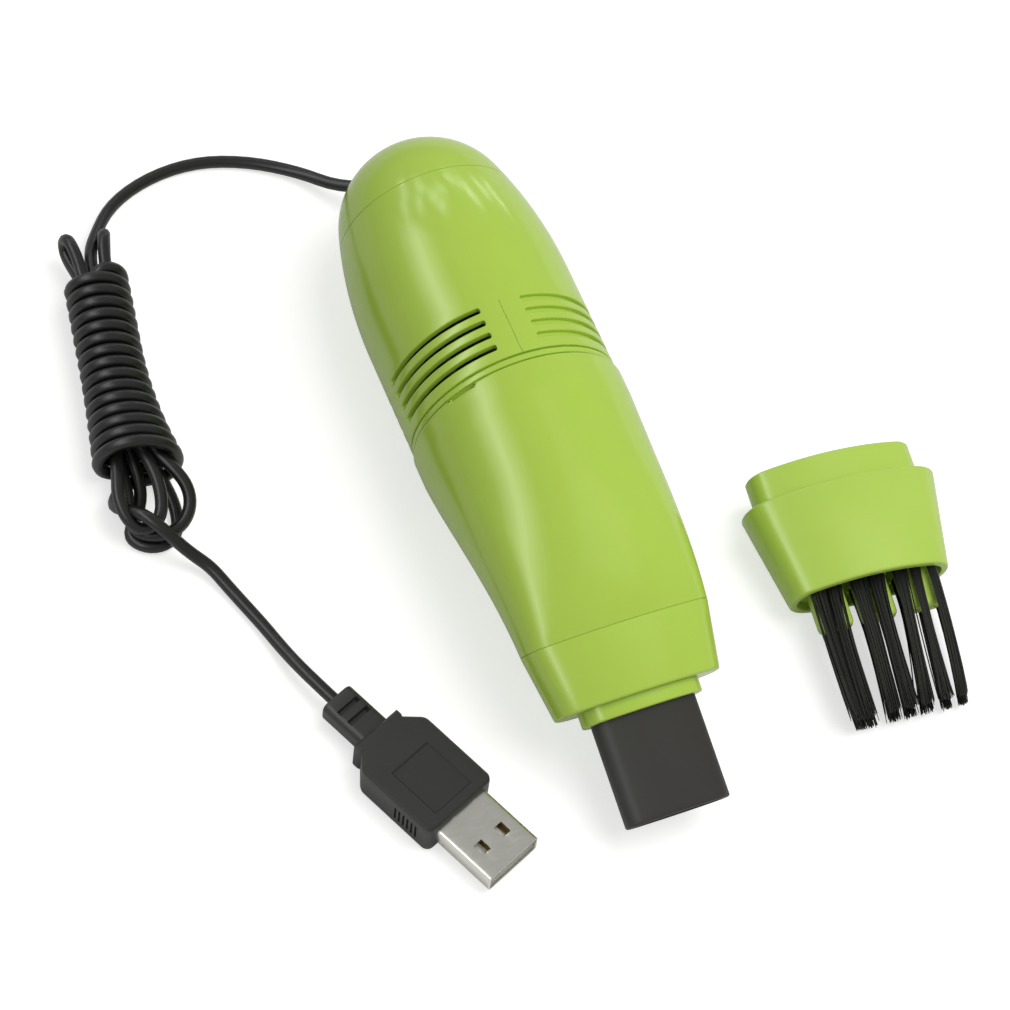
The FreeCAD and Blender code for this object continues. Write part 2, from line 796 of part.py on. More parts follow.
def switch_slider():
    """Knob at the rear end of its travel, with ridges on the thumb face."""
    y0 = switch_y + knob_travel / 2 - knob_length / 2
    low = -dome_radius_at(switch_y) - knob_proud
    high = switch_seat_z() + knob_engagement
    knob = block(-knob_width / 2, knob_width / 2, y0, y0 + knob_length, low, high)
    pitch = knob_length / 3
    grooves = [block(-knob_width, knob_width, y0 + pitch * k - knob_ridge / 2, y0 + pitch * k + knob_ridge / 2,
                     low, low + knob_ridge) for k in (1, 2)]
    return knob.cut(grooves)


# ---- dust cup ----

def cup_wire(depth, inset):
    """Cup section at a depth from the joint: a circle that flattens and tips towards the mouth.

    The centre line leaves along the housing axis and arrives along the drooping nozzle axis.
    """
    share = max(0.0, (depth - cup_straight) / (cup_length - cup_straight))
    blend = share ** taper_power
    half_width = cup_radius + (mouth_half_width - cup_radius) * blend
    half_height = cup_radius + (mouth_half_height - cup_radius) * blend
    end_radius = half_height - (mouth_half_height - mouth_end_radius) * min(1, share / cup_corner_share)
    wire = oval_wire(half_width - inset, half_height - inset, end_radius - inset)
    wire.rotate(O, X, mouth_droop * share)
    rise = math.tan(math.radians(mouth_droop)) * (cup_length - cup_straight) * share ** 2 * (1 - share)
    wire.translate(V(0, -depth, rise))
    return wire


def cup_loft(inset):
    """Straight barrel behind the joint, then one smooth loft to the mouth."""
    depths = [cup_straight + (cup_length - cup_straight) * share for share in taper_shares]
    taper = Part.makeLoft([cup_wire(depth, inset) for depth in depths], True, False)
    return taper.fuse(rod(cup_radius - inset, -cup_straight, cup_rear_y))


def dust_cup():
    outside = cup_loft(0)
    outside = outside.makeFillet(cup_edge_round, outer_edges(outside, cup_rear_y, cup_radius - 0.1))
    mouth = Part.Face(cup_wire(cup_length, cup_wall)).extrude(droop_vector(1.0))
    socket = rod(cup_inner_radius, cup_rear_y - skirt_length - push_clearance, cup_rear_y)
    notch = block(-cup_notch_width / 2, cup_notch_width / 2, cup_rear_y - cup_notch_depth, cup_rear_y,
                  cup_radius - cup_wall / 2, cup_radius + 1)
    return outside.cut([cup_loft(cup_wall), mouth, socket, turned(notch, Y, cup_notch_angle)])


def droop_vector(distance):
    angle = math.radians(mouth_droop)
    return V(0, -distance * math.cos(angle), -distance * math.sin(angle))


def filter_frame():
    outer = skirt_radius - skirt_wall - filter_clearance
    front = cup_rear_y - filter_frame_length
    frame = ring(outer, outer - filter_frame_wall, front, cup_rear_y)
    reach = outer - filter_frame_wall / 2
    bars = [block(-reach, reach, cup_rear_y - filter_bar, cup_rear_y, -filter_bar / 2, filter_bar / 2)]
    bars.append(turned(bars[0], Y, 90))
    tab = block(-filter_tab / 2, filter_tab / 2, front - filter_tab / 2, front,
                outer - filter_frame_wall, outer)
    return fused([frame, tab] + bars)


def filter_bag():
    """Tapered cloth bag with a closed front, clipped in the frame."""
    root = skirt_radius - skirt_wall - filter_clearance - filter_frame_wall - fixed_clearance
    rear = cup_rear_y - filter_bar
    outside = Part.makeCone(root, filter_tip_radius, filter_bag_length, V(0, rear, 0), -Y)
    inside = Part.makeCone(root - filter_cloth, filter_tip_radius - filter_cloth,
                           filter_bag_length - filter_cloth, V(0, rear, 0), -Y)
    return outside.cut(inside)


# ---- accessories, drawn on their own axis: seat plane at y = 0, forwards is -Y ----

def accessory_spigot():
    return oval_bar(spigot_half_width, spigot_half_height, spigot_end_radius, 0, spigot_length)


def accessory_passage(front, y_front):
    """Air passage: straight through the spigot, then widening to the front section."""
    bore = (bore_half_width, bore_half_height, bore_end_radius)
    sections = [oval_wire(*front, y_front), oval_wire(*bore, 0), oval_wire(*bore, spigot_length)]
    return Part.makeLoft(sections, True, True)


def nozzle_collar():
    seat = (mouth_half_width, mouth_half_height, mouth_end_radius)
    front = (collar_half_width, collar_half_height, collar_end_radius)
    outside = bevelled_oval(front, seat, -collar_length, collar_bevel)
    inner = [size - cup_wall for size in front]
    passage = accessory_passage(inner, -collar_length + collar_plate)
    hole = oval_bar(sleeve_half_width + fixed_clearance, sleeve_half_height + fixed_clearance,
                    sleeve_end_radius + fixed_clearance, -collar_length - 1, 0)
    return outside.fuse(accessory_spigot()).cut([passage, hole])


def nozzle_sleeve():
    plate_rear = -collar_length + collar_plate
    body = oval_bar(sleeve_half_width, sleeve_half_height, sleeve_end_radius,
                    -collar_length - sleeve_reach, plate_rear + sleeve_flange_thickness)
    flange = oval_bar(sleeve_half_width + sleeve_flange_width, sleeve_half_height, sleeve_end_radius,
                      plate_rear, plate_rear + sleeve_flange_thickness)
    return body.fuse(flange).cut(oval_bar(*tube_section(), -HUGE, HUGE))


def tube_section():
    return [size - sleeve_wall for size in (sleeve_half_width, sleeve_half_height, sleeve_end_radius)]


def rubber_nozzle():
    """Flat soft tube pressed in the sleeve."""
    front = -collar_length - sleeve_reach - tube_reach
    rear = -collar_length + collar_plate + sleeve_flange_thickness
    outside = oval_bar(*tube_section(), front, rear)
    outside = outside.makeFillet(tube_wall / 3, outer_edges(outside, front, 0))
    return outside.cut(oval_bar(*[size - tube_wall for size in tube_section()], -HUGE, HUGE))


def head_front():
    return (head_front_half_width, head_front_half_height, head_front_end_radius)


def brush_collar():
    seat = (head_half_width, head_half_height, head_end_radius)
    outside = bevelled_oval(head_front(), seat, -head_length, collar_bevel, collar_bevel)
    passage = accessory_passage([size - cup_wall for size in head_front()], -head_length)
    return outside.fuse(accessory_spigot()).cut(passage)


def finger_places():
    pitch = finger_width + finger_gap
    return [(k - (finger_count - 1) / 2) * pitch for k in range(finger_count)]


def bristle_block():
    """Oval plug in the collar with three flat fingers in front of it and an air slot in each gap."""
    share = (head_length - block_seat) / head_length
    front = [size - cup_wall for size in head_front()]
    bore = (bore_half_width, bore_half_height, bore_end_radius)
    seat = [min(f, b + (f - b) * share) - fixed_clearance for f, b in zip(front, bore)]
    face_y = block_recess - head_length
    plug = oval_bar(*seat, face_y, block_seat - head_length)
    places = finger_places()
    fingers = []
    for x in places:
        finger = block(x - finger_width / 2, x + finger_width / 2, -head_length - finger_reach,
                       face_y + finger_corner, -finger_height / 2, finger_height / 2)
        fingers.append(finger.makeFillet(finger_corner, finger.Edges))
    slots = []
    for left, right in zip(places, places[1:]):
        slots.append(block(left + finger_width / 2, right - finger_width / 2, -HUGE, HUGE,
                           -air_slot_height / 2, air_slot_height / 2))
    return fused([plug] + fingers).cut(slots)


def tuft_row_offset():
    return finger_height / 2 + tuft_root_radius + tuft_clearance


def bristle_tufts():
    """Tapered tufts on the block, in a row above the fingers and a row below them."""
    root_y = block_recess - head_length
    tip_y = -head_length - tuft_reach
    tufts = []
    for row in (-1, 1):
        z = row * tuft_row_offset()
        for finger_x in finger_places():
            for k in range(tufts_per_finger):
                x = finger_x + (k - (tufts_per_finger - 1) / 2) * tuft_pitch
                root = Part.Wire(Part.makeCircle(tuft_root_radius, V(x, root_y, z), Y))
                tip_centre = V(x * tuft_splay, tip_y, z * tuft_splay)
                tip = Part.Wire(Part.makeCircle(tuft_tip_radius, tip_centre, Y))
                tufts.append(Part.makeLoft([root, tip], True, True))
    return Part.makeCompound(tufts)


# ---- cord ----

housing_route = [(0, 51.9, cord_exit_z), (0, 61.1, cord_exit_z), (-8.2, 66.6, 4.2), (-13.6, 74.0, 1.8),
                 (-22.0, 79.8, 1.3), (-31.5, 82.9, 1.3), (-41.5, 82.3, 1.3), (-50.5, 78.2, 1.9),
                 (-56.2, 70.6, 4.2), (-58.2, 62.6, 6.2)]
plug_route = [(-65.6, 10.0, 2.6), (-63.8, 3.2, 1.4), (-59.9, -4.5, 1.3), (-57.0, -12.5, 1.3),
              (-54.3, -20.5, 2.0), (-50.96, -29.6, 4.0), (-47.7, -36.9, 4.0)]


def bundle_placed(shape):
    shape.rotate(O, Z, bundle_yaw)
    shape.translate(V(bundle_x, bundle_y, bundle_radius))
    return shape


def cord_coil():
    """Wound hank as one body: the wrapped roll, the two ears at its rear and the loops at its front."""
    roll = rod(bundle_radius, -bundle_length, 0)
    ears = block(ear_left, ear_right, -bundle_round, ear_length, -ear_height / 2, ear_height / 2)
    ears = ears.makeFillet(bundle_round, ears.Edges)
    front = -bundle_length - loop_length
    floor = -bundle_radius
    loops = block(loop_left, loop_right, front, -bundle_length + bundle_round, floor, floor + loop_height)
    loops = loops.makeFillet(bundle_round, loops.Edges)
    return bundle_placed(fused([roll, ears, loops]))


def cord_lead_housing():
    return tube(housing_route, cord_radius, "cord_lead_housing").cut(cord_coil())


def cord_lead_plug():
    return tube(plug_route, cord_radius, "cord_lead_plug").cut(cord_coil())


def inner_leads():
    """Three thin wires: cord to switch, switch to motor, cord to motor."""
    pin_z = switch_seat_z() + switch_height + pin_length / 2
    pin_gap = pin_radius + fixed_clearance / 2
    end_y = end_cap_y + terminal_length
    start_y = exit_boss_start - grommet_flange
    drop = -cord_exit_drop
    back_y = end_y + lead_bow
    routes = [[(-lead_radius - fixed_clearance, start_y, drop), (0, switch_y + pin_pitch + pin_gap, pin_z)]]
    (x1, y1, z1), (x2, y2, z2), (x3, y3, z3) = switch_lead_offsets
    routes.append([(-pin_gap, switch_y, pin_z), (x1, switch_y + y1, pin_z + z1), (x2, end_y + y2, z2),
                   (x3, end_y + y3, z3), (-terminal_x, back_y, terminal_z), (-terminal_x, end_y, terminal_z)])
    (x1, y1, z1), (x2, y2, z2), (x3, y3, z3) = cord_lead_offsets
    routes.append([(lead_radius + fixed_clearance, start_y, drop), (x1, start_y + y1, drop + z1),
                   (x2, end_y + y2, z2), (x3, end_y + y3, z3), (terminal_x, back_y, terminal_z),
                   (terminal_x, end_y, terminal_z)])
    return Part.makeCompound([tube(route, lead_radius, "inner lead") for route in routes])


# ---- USB plug, drawn along +X from the rear of its strain relief ----

def upright_block(x0, x1, width, height, z=0.0):
    return block(x0, x1, -width / 2, width / 2, z - height / 2, z + height / 2)


def plug_strain_relief():
    body = upright_block(0, relief_length, relief_width, relief_height)
    body = body.makeFillet(relief_round, [e for e in body.Edges if abs(e.tangentAt(0).x) > 0.9])
    inner = upright_block(0, relief_length, relief_width - 2 * relief_notch_depth,
                          relief_height - 2 * relief_notch_depth)
    notches = []
    for k in (1, 2):
        x = relief_notch_pitch * k
        band = upright_block(x, x + relief_notch, relief_width + 2, relief_height + 2)
        notches.append(band.cut(inner))
    bore = Part.makeCylinder(cord_radius, relief_notch / 2, O, X)
    return body.cut(notches + [bore])


def plug_overmould():
    """Moulded grip: neck collar, slanted shoulders, a framed panel on both faces and side ribs."""
    x0 = relief_length
    x1 = x0 + overmould_length
    neck = overmould_neck_width / 2
    half = overmould_width / 2
    corner = overmould_corner
    outline = [V(x0, -neck, 0), V(x0 + overmould_collar, -neck, 0), V(x0 + overmould_shoulder, -half, 0),
               V(x1 - corner, -half, 0), V(x1, corner - half, 0), V(x1, half - corner, 0),
               V(x1 - corner, half, 0), V(x0 + overmould_shoulder, half, 0), V(x0 + overmould_collar, neck, 0),
               V(x0, neck, 0)]
    body = Part.Face(Part.makePolygon(outline + outline[:1])).extrude(V(0, 0, overmould_height))
    body.translate(V(0, 0, -overmould_height / 2))
    rims = [e for e in body.Edges if abs(abs(e.valueAt(0).z) - overmould_height / 2) < 1e-6
            and abs(e.tangentAt(0).z) < 0.1]
    body = body.makeChamfer(overmould_edge, rims)
    cuts = [upright_block(x1 - usb_root, x1, usb_width, usb_height)]
    panel_x = x1 - panel_from_front - panel_length
    for side in (-1, 1):
        z = side * overmould_height / 2
        cuts.append(upright_block(panel_x, panel_x + panel_length, panel_width, 2 * panel_depth, z))
        for k in range(rib_count):
            x = x1 - ribs_from_front - k * rib_pitch
            cuts.append(block(x - rib_width, x, side * half - rib_depth, side * half + rib_depth,
                              -overmould_height / 4, overmould_height / 4))
    return body.cut(cuts)


def plug_shell():
    x0 = relief_length + overmould_length - usb_root
    x1 = relief_length + overmould_length + usb_reach
    shell = upright_block(x0, x1, usb_width, usb_height)
    hollow = upright_block(x0, x1, usb_width - 2 * usb_sheet, usb_height - 2 * usb_sheet)
    holes = []
    for side in (-1, 1):
        x = x1 - usb_hole_from_tip
        y = side * usb_hole_offset
        holes.append(block(x - usb_hole_length / 2, x + usb_hole_length / 2, y - usb_hole_width / 2,
                           y + usb_hole_width / 2, -usb_height, usb_height))
    return shell.cut([hollow] + holes)


def tongue_box():
    x0 = relief_length + overmould_length - usb_root
    x1 = relief_length + overmould_length + usb_reach - tongue_setback
    floor = -usb_height / 2 + usb_sheet + tongue_clearance
    return x0, x1, floor, floor + tongue_height


def plug_insert():
    """Plastic tongue in the lower half of the shell, with a full-height root."""
    x0, x1, low, high = tongue_box()
    half = usb_width / 2 - usb_sheet - tongue_clearance
    root = block(x0, x0 + usb_root, -half, half, low, usb_height / 2 - usb_sheet - tongue_clearance)
    return root.fuse(block(x0, x1, -half, half, low, high))


def plug_contacts():
    x0, x1, low, high = tongue_box()
    strips = []
    for y in contact_positions:
        front = x1 - contact_setback
        strips.append(block(front - contact_length, front, y - contact_width / 2, y + contact_width / 2,
                            high, high + contact_thickness))
    return Part.makeCompound(strips)


# ---- placing and writing ----

def in_housing(shape):
    shape.translate(V(0, 0, axis_height))
    return shape


def in_mouth(shape):
    shape.rotate(O, X, mouth_droop)
    shape.translate(V(0, -cup_length, axis_height))
    return shape


def on_floor(shape):
    """Spare head lying on the rim of its collar and on the tips of its lower row of tufts."""
    tip_y = head_length + tuft_reach
    tip_z = tuft_row_offset() * tuft_splay + tuft_tip_radius
    pitch = math.atan2(head_half_height - tip_z, tip_y)
    shape.rotate(O, X, math.degrees(pitch))
    shape.rotate(O, Z, head_yaw)
    shape.translate(V(head_place_x, head_place_y, head_half_height * math.cos(pitch)))
    return shape


def at_plug(shape):
    shape.rotate(O, Z, plug_yaw)
    shape.translate(V(plug_x, plug_y, plug_height))
    return shape


def in_place(shape):
    return shape


groups = {
    in_housing: {
        "rear_shell_left": rear_shell(-1), "rear_shell_right": rear_shell(1), "shell_screw": shell_screw(),
        "rear_cap": rear_cap(), "cord_grommet": cord_grommet(), "inlet_plate": inlet_plate(),
        "motor_plate": motor_plate(), "motor_can": motor_can(), "motor_end_cap": motor_end_cap(),
        "motor_bearings": motor_bearings(), "motor_magnets": motor_magnets(), "motor_brushes": motor_brushes(),
        "motor_terminals": motor_terminals(), "capacitor": capacitor(), "motor_screws": motor_screws(),
        "motor_shaft": motor_shaft(), "armature": armature(), "windings": windings(),
        "commutator": commutator(), "impeller": impeller(), "switch_body": switch_body(),
        "switch_terminals": switch_terminals(), "switch_slider": switch_slider(), "inner_leads": inner_leads(),
        "dust_cup": dust_cup(), "filter_frame": filter_frame(), "filter_bag": filter_bag(),
    },
    in_mouth: {
        "nozzle_collar": nozzle_collar(), "nozzle_sleeve": nozzle_sleeve(), "rubber_nozzle": rubber_nozzle(),
    },
    on_floor: {
        "brush_collar": brush_collar(), "bristle_block": bristle_block(), "bristle_tufts": bristle_tufts(),
    },
    at_plug: {
        "plug_strain_relief": plug_strain_relief(), "plug_overmould": plug_overmould(),
        "plug_shell": plug_shell(), "plug_insert": plug_insert(), "plug_contacts": plug_contacts(),
    },
    in_place: {
        "cord_coil": cord_coil(), "cord_lead_housing": cord_lead_housing(), "cord_lead_plug": cord_lead_plug(),
    },
}

os.makedirs("parts", exist_ok=True)
for place, shapes in groups.items():
    for name, shape in shapes.items():
        solid = place(shape)
        if not solid.isValid() or not solid.Solids:
            print("NOT VALID", name)
        solid.exportStep("parts/" + name + ".step")
        print(name, "solids", len(solid.Solids), "volume", round(solid.Volume, 1))
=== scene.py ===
# %% [markdown]
# A hand-held USB vacuum cleaner for desks lies on its side, with its cord wound up and a spare brush head beside it.
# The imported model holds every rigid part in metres, and this file gives each visible part its finished surface.
# Sizes are written in millimetres in each part's own drawing frame and are placed by one matrix per frame.

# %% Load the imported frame
import math
import random

import bmesh
import bpy
from mathutils import Matrix, Vector


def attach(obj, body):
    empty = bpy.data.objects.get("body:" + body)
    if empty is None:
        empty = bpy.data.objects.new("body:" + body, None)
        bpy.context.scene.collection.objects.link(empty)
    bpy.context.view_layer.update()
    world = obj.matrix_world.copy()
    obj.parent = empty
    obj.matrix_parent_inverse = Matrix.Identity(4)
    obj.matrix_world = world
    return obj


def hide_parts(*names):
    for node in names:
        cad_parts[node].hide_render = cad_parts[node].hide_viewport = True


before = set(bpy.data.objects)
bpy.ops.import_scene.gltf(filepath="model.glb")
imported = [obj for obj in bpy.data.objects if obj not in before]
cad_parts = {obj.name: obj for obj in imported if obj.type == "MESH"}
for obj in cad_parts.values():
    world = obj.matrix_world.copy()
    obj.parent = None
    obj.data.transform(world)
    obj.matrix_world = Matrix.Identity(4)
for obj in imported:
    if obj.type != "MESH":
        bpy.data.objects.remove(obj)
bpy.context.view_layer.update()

# %% [markdown]
# The camera looks steeply down on the table from the front left, through a long lens, so the outlines stay nearly
# parallel. It could be aimed by a tracking constraint, but a matrix built from turn, height and roll is exact.

# %% Camera
MILLIMETRE = 0.001
SENSOR_WIDTH, FOCAL_LENGTH = 36.0, 144.76
LOOK_AT = Vector((-3.0, -7.27, 0.0))
CAMERA_TURN, CAMERA_HEIGHT, CAMERA_ROLL = -29.13, 59.33, 8.53
CAMERA_DISTANCE = 0.75


def new_object(name, data):
    """An object in the scene that shows some data."""
    made = bpy.data.objects.new(name, data)
    bpy.context.collection.objects.link(made)
    return made


camera_data = bpy.data.cameras.new("camera")
camera_data.sensor_width = SENSOR_WIDTH
camera_data.lens = FOCAL_LENGTH
camera = new_object("camera", camera_data)
look_at = Matrix.Translation(LOOK_AT * MILLIMETRE)
turn = Matrix.Rotation(math.radians(CAMERA_TURN), 4, "Z")
height = Matrix.Rotation(math.radians(90 - CAMERA_HEIGHT), 4, "X")
roll = Matrix.Rotation(math.radians(CAMERA_ROLL), 4, "Z")
camera.matrix_world = look_at @ turn @ height @ roll @ Matrix.Translation((0, 0, CAMERA_DISTANCE))
bpy.context.scene.camera = camera
bpy.context.scene.view_settings.view_transform = "Standard"
print("camera at", [round(c, 3) for c in camera.matrix_world.translation])

# %% [markdown]
# Every group of parts has a frame of its own: the housing axis, the drooping mouth of the cup, the brush head on the
# table, the plug and the cord bundle. A matrix per frame keeps the drawing numbers simple.

# %% Drawing frames
AXIS_HEIGHT = 20.4
CUP_LENGTH = 47.6
MOUTH_DROOP = 19.7
# the head rests on the lower edge of its collar and on the tips of its bristles
HEAD_HALF_HEIGHT, TIPS_HALF_HEIGHT, HEAD_REACH = 9.2, 4.87, 43.9
HEAD_X, HEAD_Y, HEAD_TURN = 52.8, -30.5, -4.9
PLUG_PLACE, PLUG_TURN = (-47.7, -36.9, 4.0), -66
BUNDLE_PLACE, BUNDLE_TURN = (-58.85, 63.62, 6.35), -9.7


def placed(place, turn=0.0):
    """The frame at a place in millimetres, turned by degrees about the vertical."""
    return Matrix.Scale(MILLIMETRE, 4) @ Matrix.Translation(place) @ Matrix.Rotation(math.radians(turn), 4, "Z")


droop = math.radians(MOUTH_DROOP)
brush_pitch = math.atan2(HEAD_HALF_HEIGHT - TIPS_HALF_HEIGHT, HEAD_REACH)
in_housing = placed((0, 0, AXIS_HEIGHT))
in_mouth = placed((0, -CUP_LENGTH, AXIS_HEIGHT)) @ Matrix.Rotation(droop, 4, "X")
on_floor = (placed((HEAD_X, HEAD_Y, HEAD_HALF_HEIGHT * math.cos(brush_pitch)), HEAD_TURN)
            @ Matrix.Rotation(brush_pitch, 4, "X"))
at_plug = placed(PLUG_PLACE, PLUG_TURN)
at_bundle = placed(BUNDLE_PLACE, BUNDLE_TURN)
print("brush head leans by", round(math.degrees(brush_pitch), 2), "degrees")

# %% [markdown]
# The cord is one limp lead, a little over a metre long. It leaves the rear cap, runs round to the bundle, goes up and
# down in a hank of six strands, is wound tightly round the hank, and ends at the plug. A mesh tube swept by hand would
# need its turns worked out, so one NURBS curve carries the whole lead, and its bevel gives it its thickness. The two
# open runs are in metres on the table, and the rest is in the bundle's own frame.

# %% Cord route
housing_route = [(0.0, 0.0519, 0.0084), (0.0, 0.0611, 0.0084), (-0.0082, 0.0666, 0.0042), (-0.0136, 0.0740, 0.0018),
                 (-0.0220, 0.0798, 0.0013), (-0.0315, 0.0829, 0.0013), (-0.0415, 0.0823, 0.0013),
                 (-0.0505, 0.0782, 0.0019), (-0.0562, 0.0706, 0.0042)]
plug_route = [(-0.0590, -0.0030, 0.0024), (-0.0573, -0.0074, 0.0015), (-0.0556, -0.0122, 0.0013),
              (-0.0540, -0.0170, 0.0014), (-0.0525, -0.0230, 0.0021), (-0.0508, -0.0296, 0.0038),
              (-0.0477, -0.0369, 0.0040)]
# six strands through the winding, joined by three loops in front and two ears behind
hank = [(0.2, 3.6, -0.9), (-0.3, -0.5, -0.1), (0, -8, 0), (0, -22, 0), (0, -36, 0),
        (0.3, -42, -0.4), (1.1, -46.5, -1.8), (0.9, -50.2, -3.9), (-1.1, -53.4, -5.1), (-2.5, -56.6, -5.1),
        (0.4, -59.2, -5.1), (4.0, -59.2, -5.1), (6.4, -57.0, -5.1), (7.0, -53.4, -4.9), (6.5, -49.8, -4.2),
        (5.0, -45.5, -3.0), (3.2, -41.5, -1.9), (2.25, -36, -1.3), (2.25, -22, -1.3), (2.25, -8, -1.3),
        (2.3, -2.0, -1.4), (2.6, 1.5, -2.1), (3.0, 4.5, -2.3), (3.2, 5.9, -1.0), (3.2, 5.9, 1.0), (2.9, 4.5, 2.4),
        (2.4, 1.5, 2.2), (2.25, -2.0, 1.5), (2.25, -8, 1.3), (2.25, -22, 1.3), (2.25, -36, 1.3),
        (3.2, -40.5, 1.8), (5.0, -44.4, 2.4), (7.3, -47.6, 2.2), (9.2, -50.6, 0.9), (9.5, -53.6, -0.8),
        (8.0, -56.5, -2.2), (5.0, -58.2, -2.8), (1.4, -58.2, -3.0), (-1.3, -56.6, -3.0), (-1.8, -53.0, -2.9),
        (-1.4, -48.6, -2.2), (-1.9, -43.5, -1.6), (-2.25, -36, -1.3), (-2.25, -22, -1.3), (-2.25, -8, -1.3),
        (-2.6, -2.0, -1.5), (-3.6, 1.3, -2.0), (-4.3, 4.2, -2.3), (-4.5, 5.7, -1.0), (-4.3, 5.8, 1.0),
        (-3.6, 4.3, 2.3), (-2.9, 1.4, 2.1), (-2.4, -2.0, 1.5), (-2.25, -8, 1.3), (-2.25, -22, 1.3), (-2.25, -36, 1.3),
        (-2.6, -42, 1.9), (-3.0, -47.5, 2.3), (-3.7, -51.6, 2.1), (-3.0, -55.4, 1.0), (-0.9, -57.7, -0.8),
        (1.8, -57.6, -0.8), (3.8, -55.6, 0.5), (4.2, -52.0, 1.8), (3.7, -48.0, 2.6), (2.0, -42.5, 2.9),
        (0, -36, 2.6), (0, -22, 2.6), (0, -8, 2.6), (-0.5, -6.2, 2.7), (-0.1, -4.6, 3.4), (1.6, -3.8, 4.4)]
through_the_loops = [(-2.7, -46.6, -5.1), (-3.8, -48.6, -4.8), (-4.2, -50.9, -2.9), (-2.8, -53.1, -0.6),
                     (0.2, -56.3, 2.5), (3.3, -59.4, 1.4), (5.7, -61.5, -0.7), (8.1, -63.4, -2.5)]
CORD_DIAMETER = 2.4
WINDING_RADIUS, WINDING_START, WINDING_PITCH = 5.2, -3.85, 2.68
TURNS, EVEN_TURNS, POINTS_PER_TURN = 15.42, 6.0, 12
START_ANGLE = 45
OPENING, SIDEWAYS = 0.0277, 0.55
LOWEST = -5.1


def winding_point(turns):
    """A control point of the winding, which opens over its last turns, mostly to the right."""
    angle = math.radians(START_ANGLE + 360 * turns)
    opening = OPENING * max(0.0, turns - EVEN_TURNS) ** 2
    radius = WINDING_RADIUS + opening
    across = radius * math.sin(angle) + SIDEWAYS * opening
    return (across, WINDING_START - WINDING_PITCH * turns, max(LOWEST, radius * math.cos(angle)))


winding = [winding_point(k / POINTS_PER_TURN) for k in range(int(TURNS * POINTS_PER_TURN) + 1)]
print("hank", len(hank), "points, winding", len(winding), "points")

# %% Cord curve
cord_points = [Vector(p) for p in housing_route]
cord_points += [at_bundle @ Vector(p) for p in hank + winding + through_the_loops]
cord_points += [Vector(p) for p in plug_route]
cord_curve = bpy.data.curves.new("cord", "CURVE")
cord_curve.dimensions = "3D"
cord_spline = cord_curve.splines.new("NURBS")
cord_spline.points.add(len(cord_points) - 1)
for control, point in zip(cord_spline.points, cord_points):
    control.co = (*point, 1.0)
cord_spline.order_u = 3
cord_spline.use_endpoint_u = True
cord_curve.resolution_u = 4
cord = new_object("cord", cord_curve)
centre_line = bpy.data.meshes.new_from_object(cord)
bpy.data.meshes.remove(centre_line)
cord_curve.bevel_depth = CORD_DIAMETER / 2 * MILLIMETRE
cord_curve.bevel_resolution = 3

# %% [markdown]
# Colours are written as hex values the way a picture program shows them. The renderer works in linear light, so one
# function converts them. Another adds a node, sets it and links it, which keeps each material short.

# %% Colour and node helpers
def linear(code):
    """An sRGB hex colour as linear RGBA."""
    parts = [int(code[k:k + 2], 16) / 255 for k in (1, 3, 5)]
    return [p / 12.92 if p <= 0.04045 else ((p + 0.055) / 1.055) ** 2.4 for p in parts] + [1.0]


def add_node(tree, kind, values=None, links=None, **settings):
    """One node with its settings, input values and incoming links."""
    added = tree.nodes.new(kind)
    for key, value in settings.items():
        setattr(added, key, value)
    for key, value in (values or {}).items():
        added.inputs[key].default_value = value
    for key, source in (links or {}).items():
        tree.links.new(source, added.inputs[key])
    return added


def new_material(name):
    """An empty material with its tree."""
    material = bpy.data.materials.new(name)
    material.use_nodes = True
    material.node_tree.nodes.clear()
    return material, material.node_tree


def surface(tree, shader):
    """Join a shader to the material's output."""
    add_node(tree, "ShaderNodeOutputMaterial", links={"Surface": shader})


def per_metre(size_mm):
    """The texture scale at which one feature is size_mm long."""
    return 1.0 / (size_mm * MILLIMETRE)


# the colour sockets of a mix node: first and second colour, and result
MIX_FIRST, MIX_SECOND, MIX_RESULT = 6, 7, 2


def drifting_colour(tree, factor, first, second):
    """A colour that drifts between two hex colours."""
    tint = add_node(tree, "ShaderNodeMix", links={"Factor": factor}, data_type="RGBA")
    tint.inputs[MIX_FIRST].default_value = linear(first)
    tint.inputs[MIX_SECOND].default_value = linear(second)
    return tint.outputs[MIX_RESULT]


print("one feature per millimetre is a texture scale of", per_metre(1.0))

# %% [markdown]
# Injection-moulded plastics share one build: a base colour that drifts a little where the melt flowed, and a fine
# surface grain that breaks up the highlight. The grain size tells polished ABS from spark-eroded or soft PVC.

# %% Moulded plastics
def moulded(name, colour, drift_colour, roughness, grain_mm, grain_depth_mm, ior=1.5, drift_mm=9.0, spread=0.06):
    """A moulded plastic with melt drift in its colour and grain in its gloss."""
    material, tree = new_material(name)
    place = add_node(tree, "ShaderNodeTexCoord").outputs["Object"]
    flow = add_node(tree, "ShaderNodeTexNoise", {"Scale": per_metre(drift_mm), "Detail": 3.0}, {"Vector": place})
    tint = drifting_colour(tree, flow.outputs["Fac"], colour, drift_colour)
    grain = add_node(tree, "ShaderNodeTexNoise", {"Scale": per_metre(grain_mm), "Detail": 2.0}, {"Vector": place})
    gloss = add_node(tree, "ShaderNodeMapRange", {"To Min": roughness - spread / 2, "To Max": roughness + spread / 2},
                     {"Value": grain.outputs["Fac"]})
    relief = add_node(tree, "ShaderNodeBump", {"Strength": 1.0, "Distance": grain_depth_mm * MILLIMETRE},
                      {"Height": grain.outputs["Fac"]})
    skin = add_node(tree, "ShaderNodeBsdfPrincipled", {"IOR": ior},
                    {"Base Color": tint, "Roughness": gloss.outputs[0], "Normal": relief.outputs["Normal"]})
    surface(tree, skin.outputs["BSDF"])
    return material


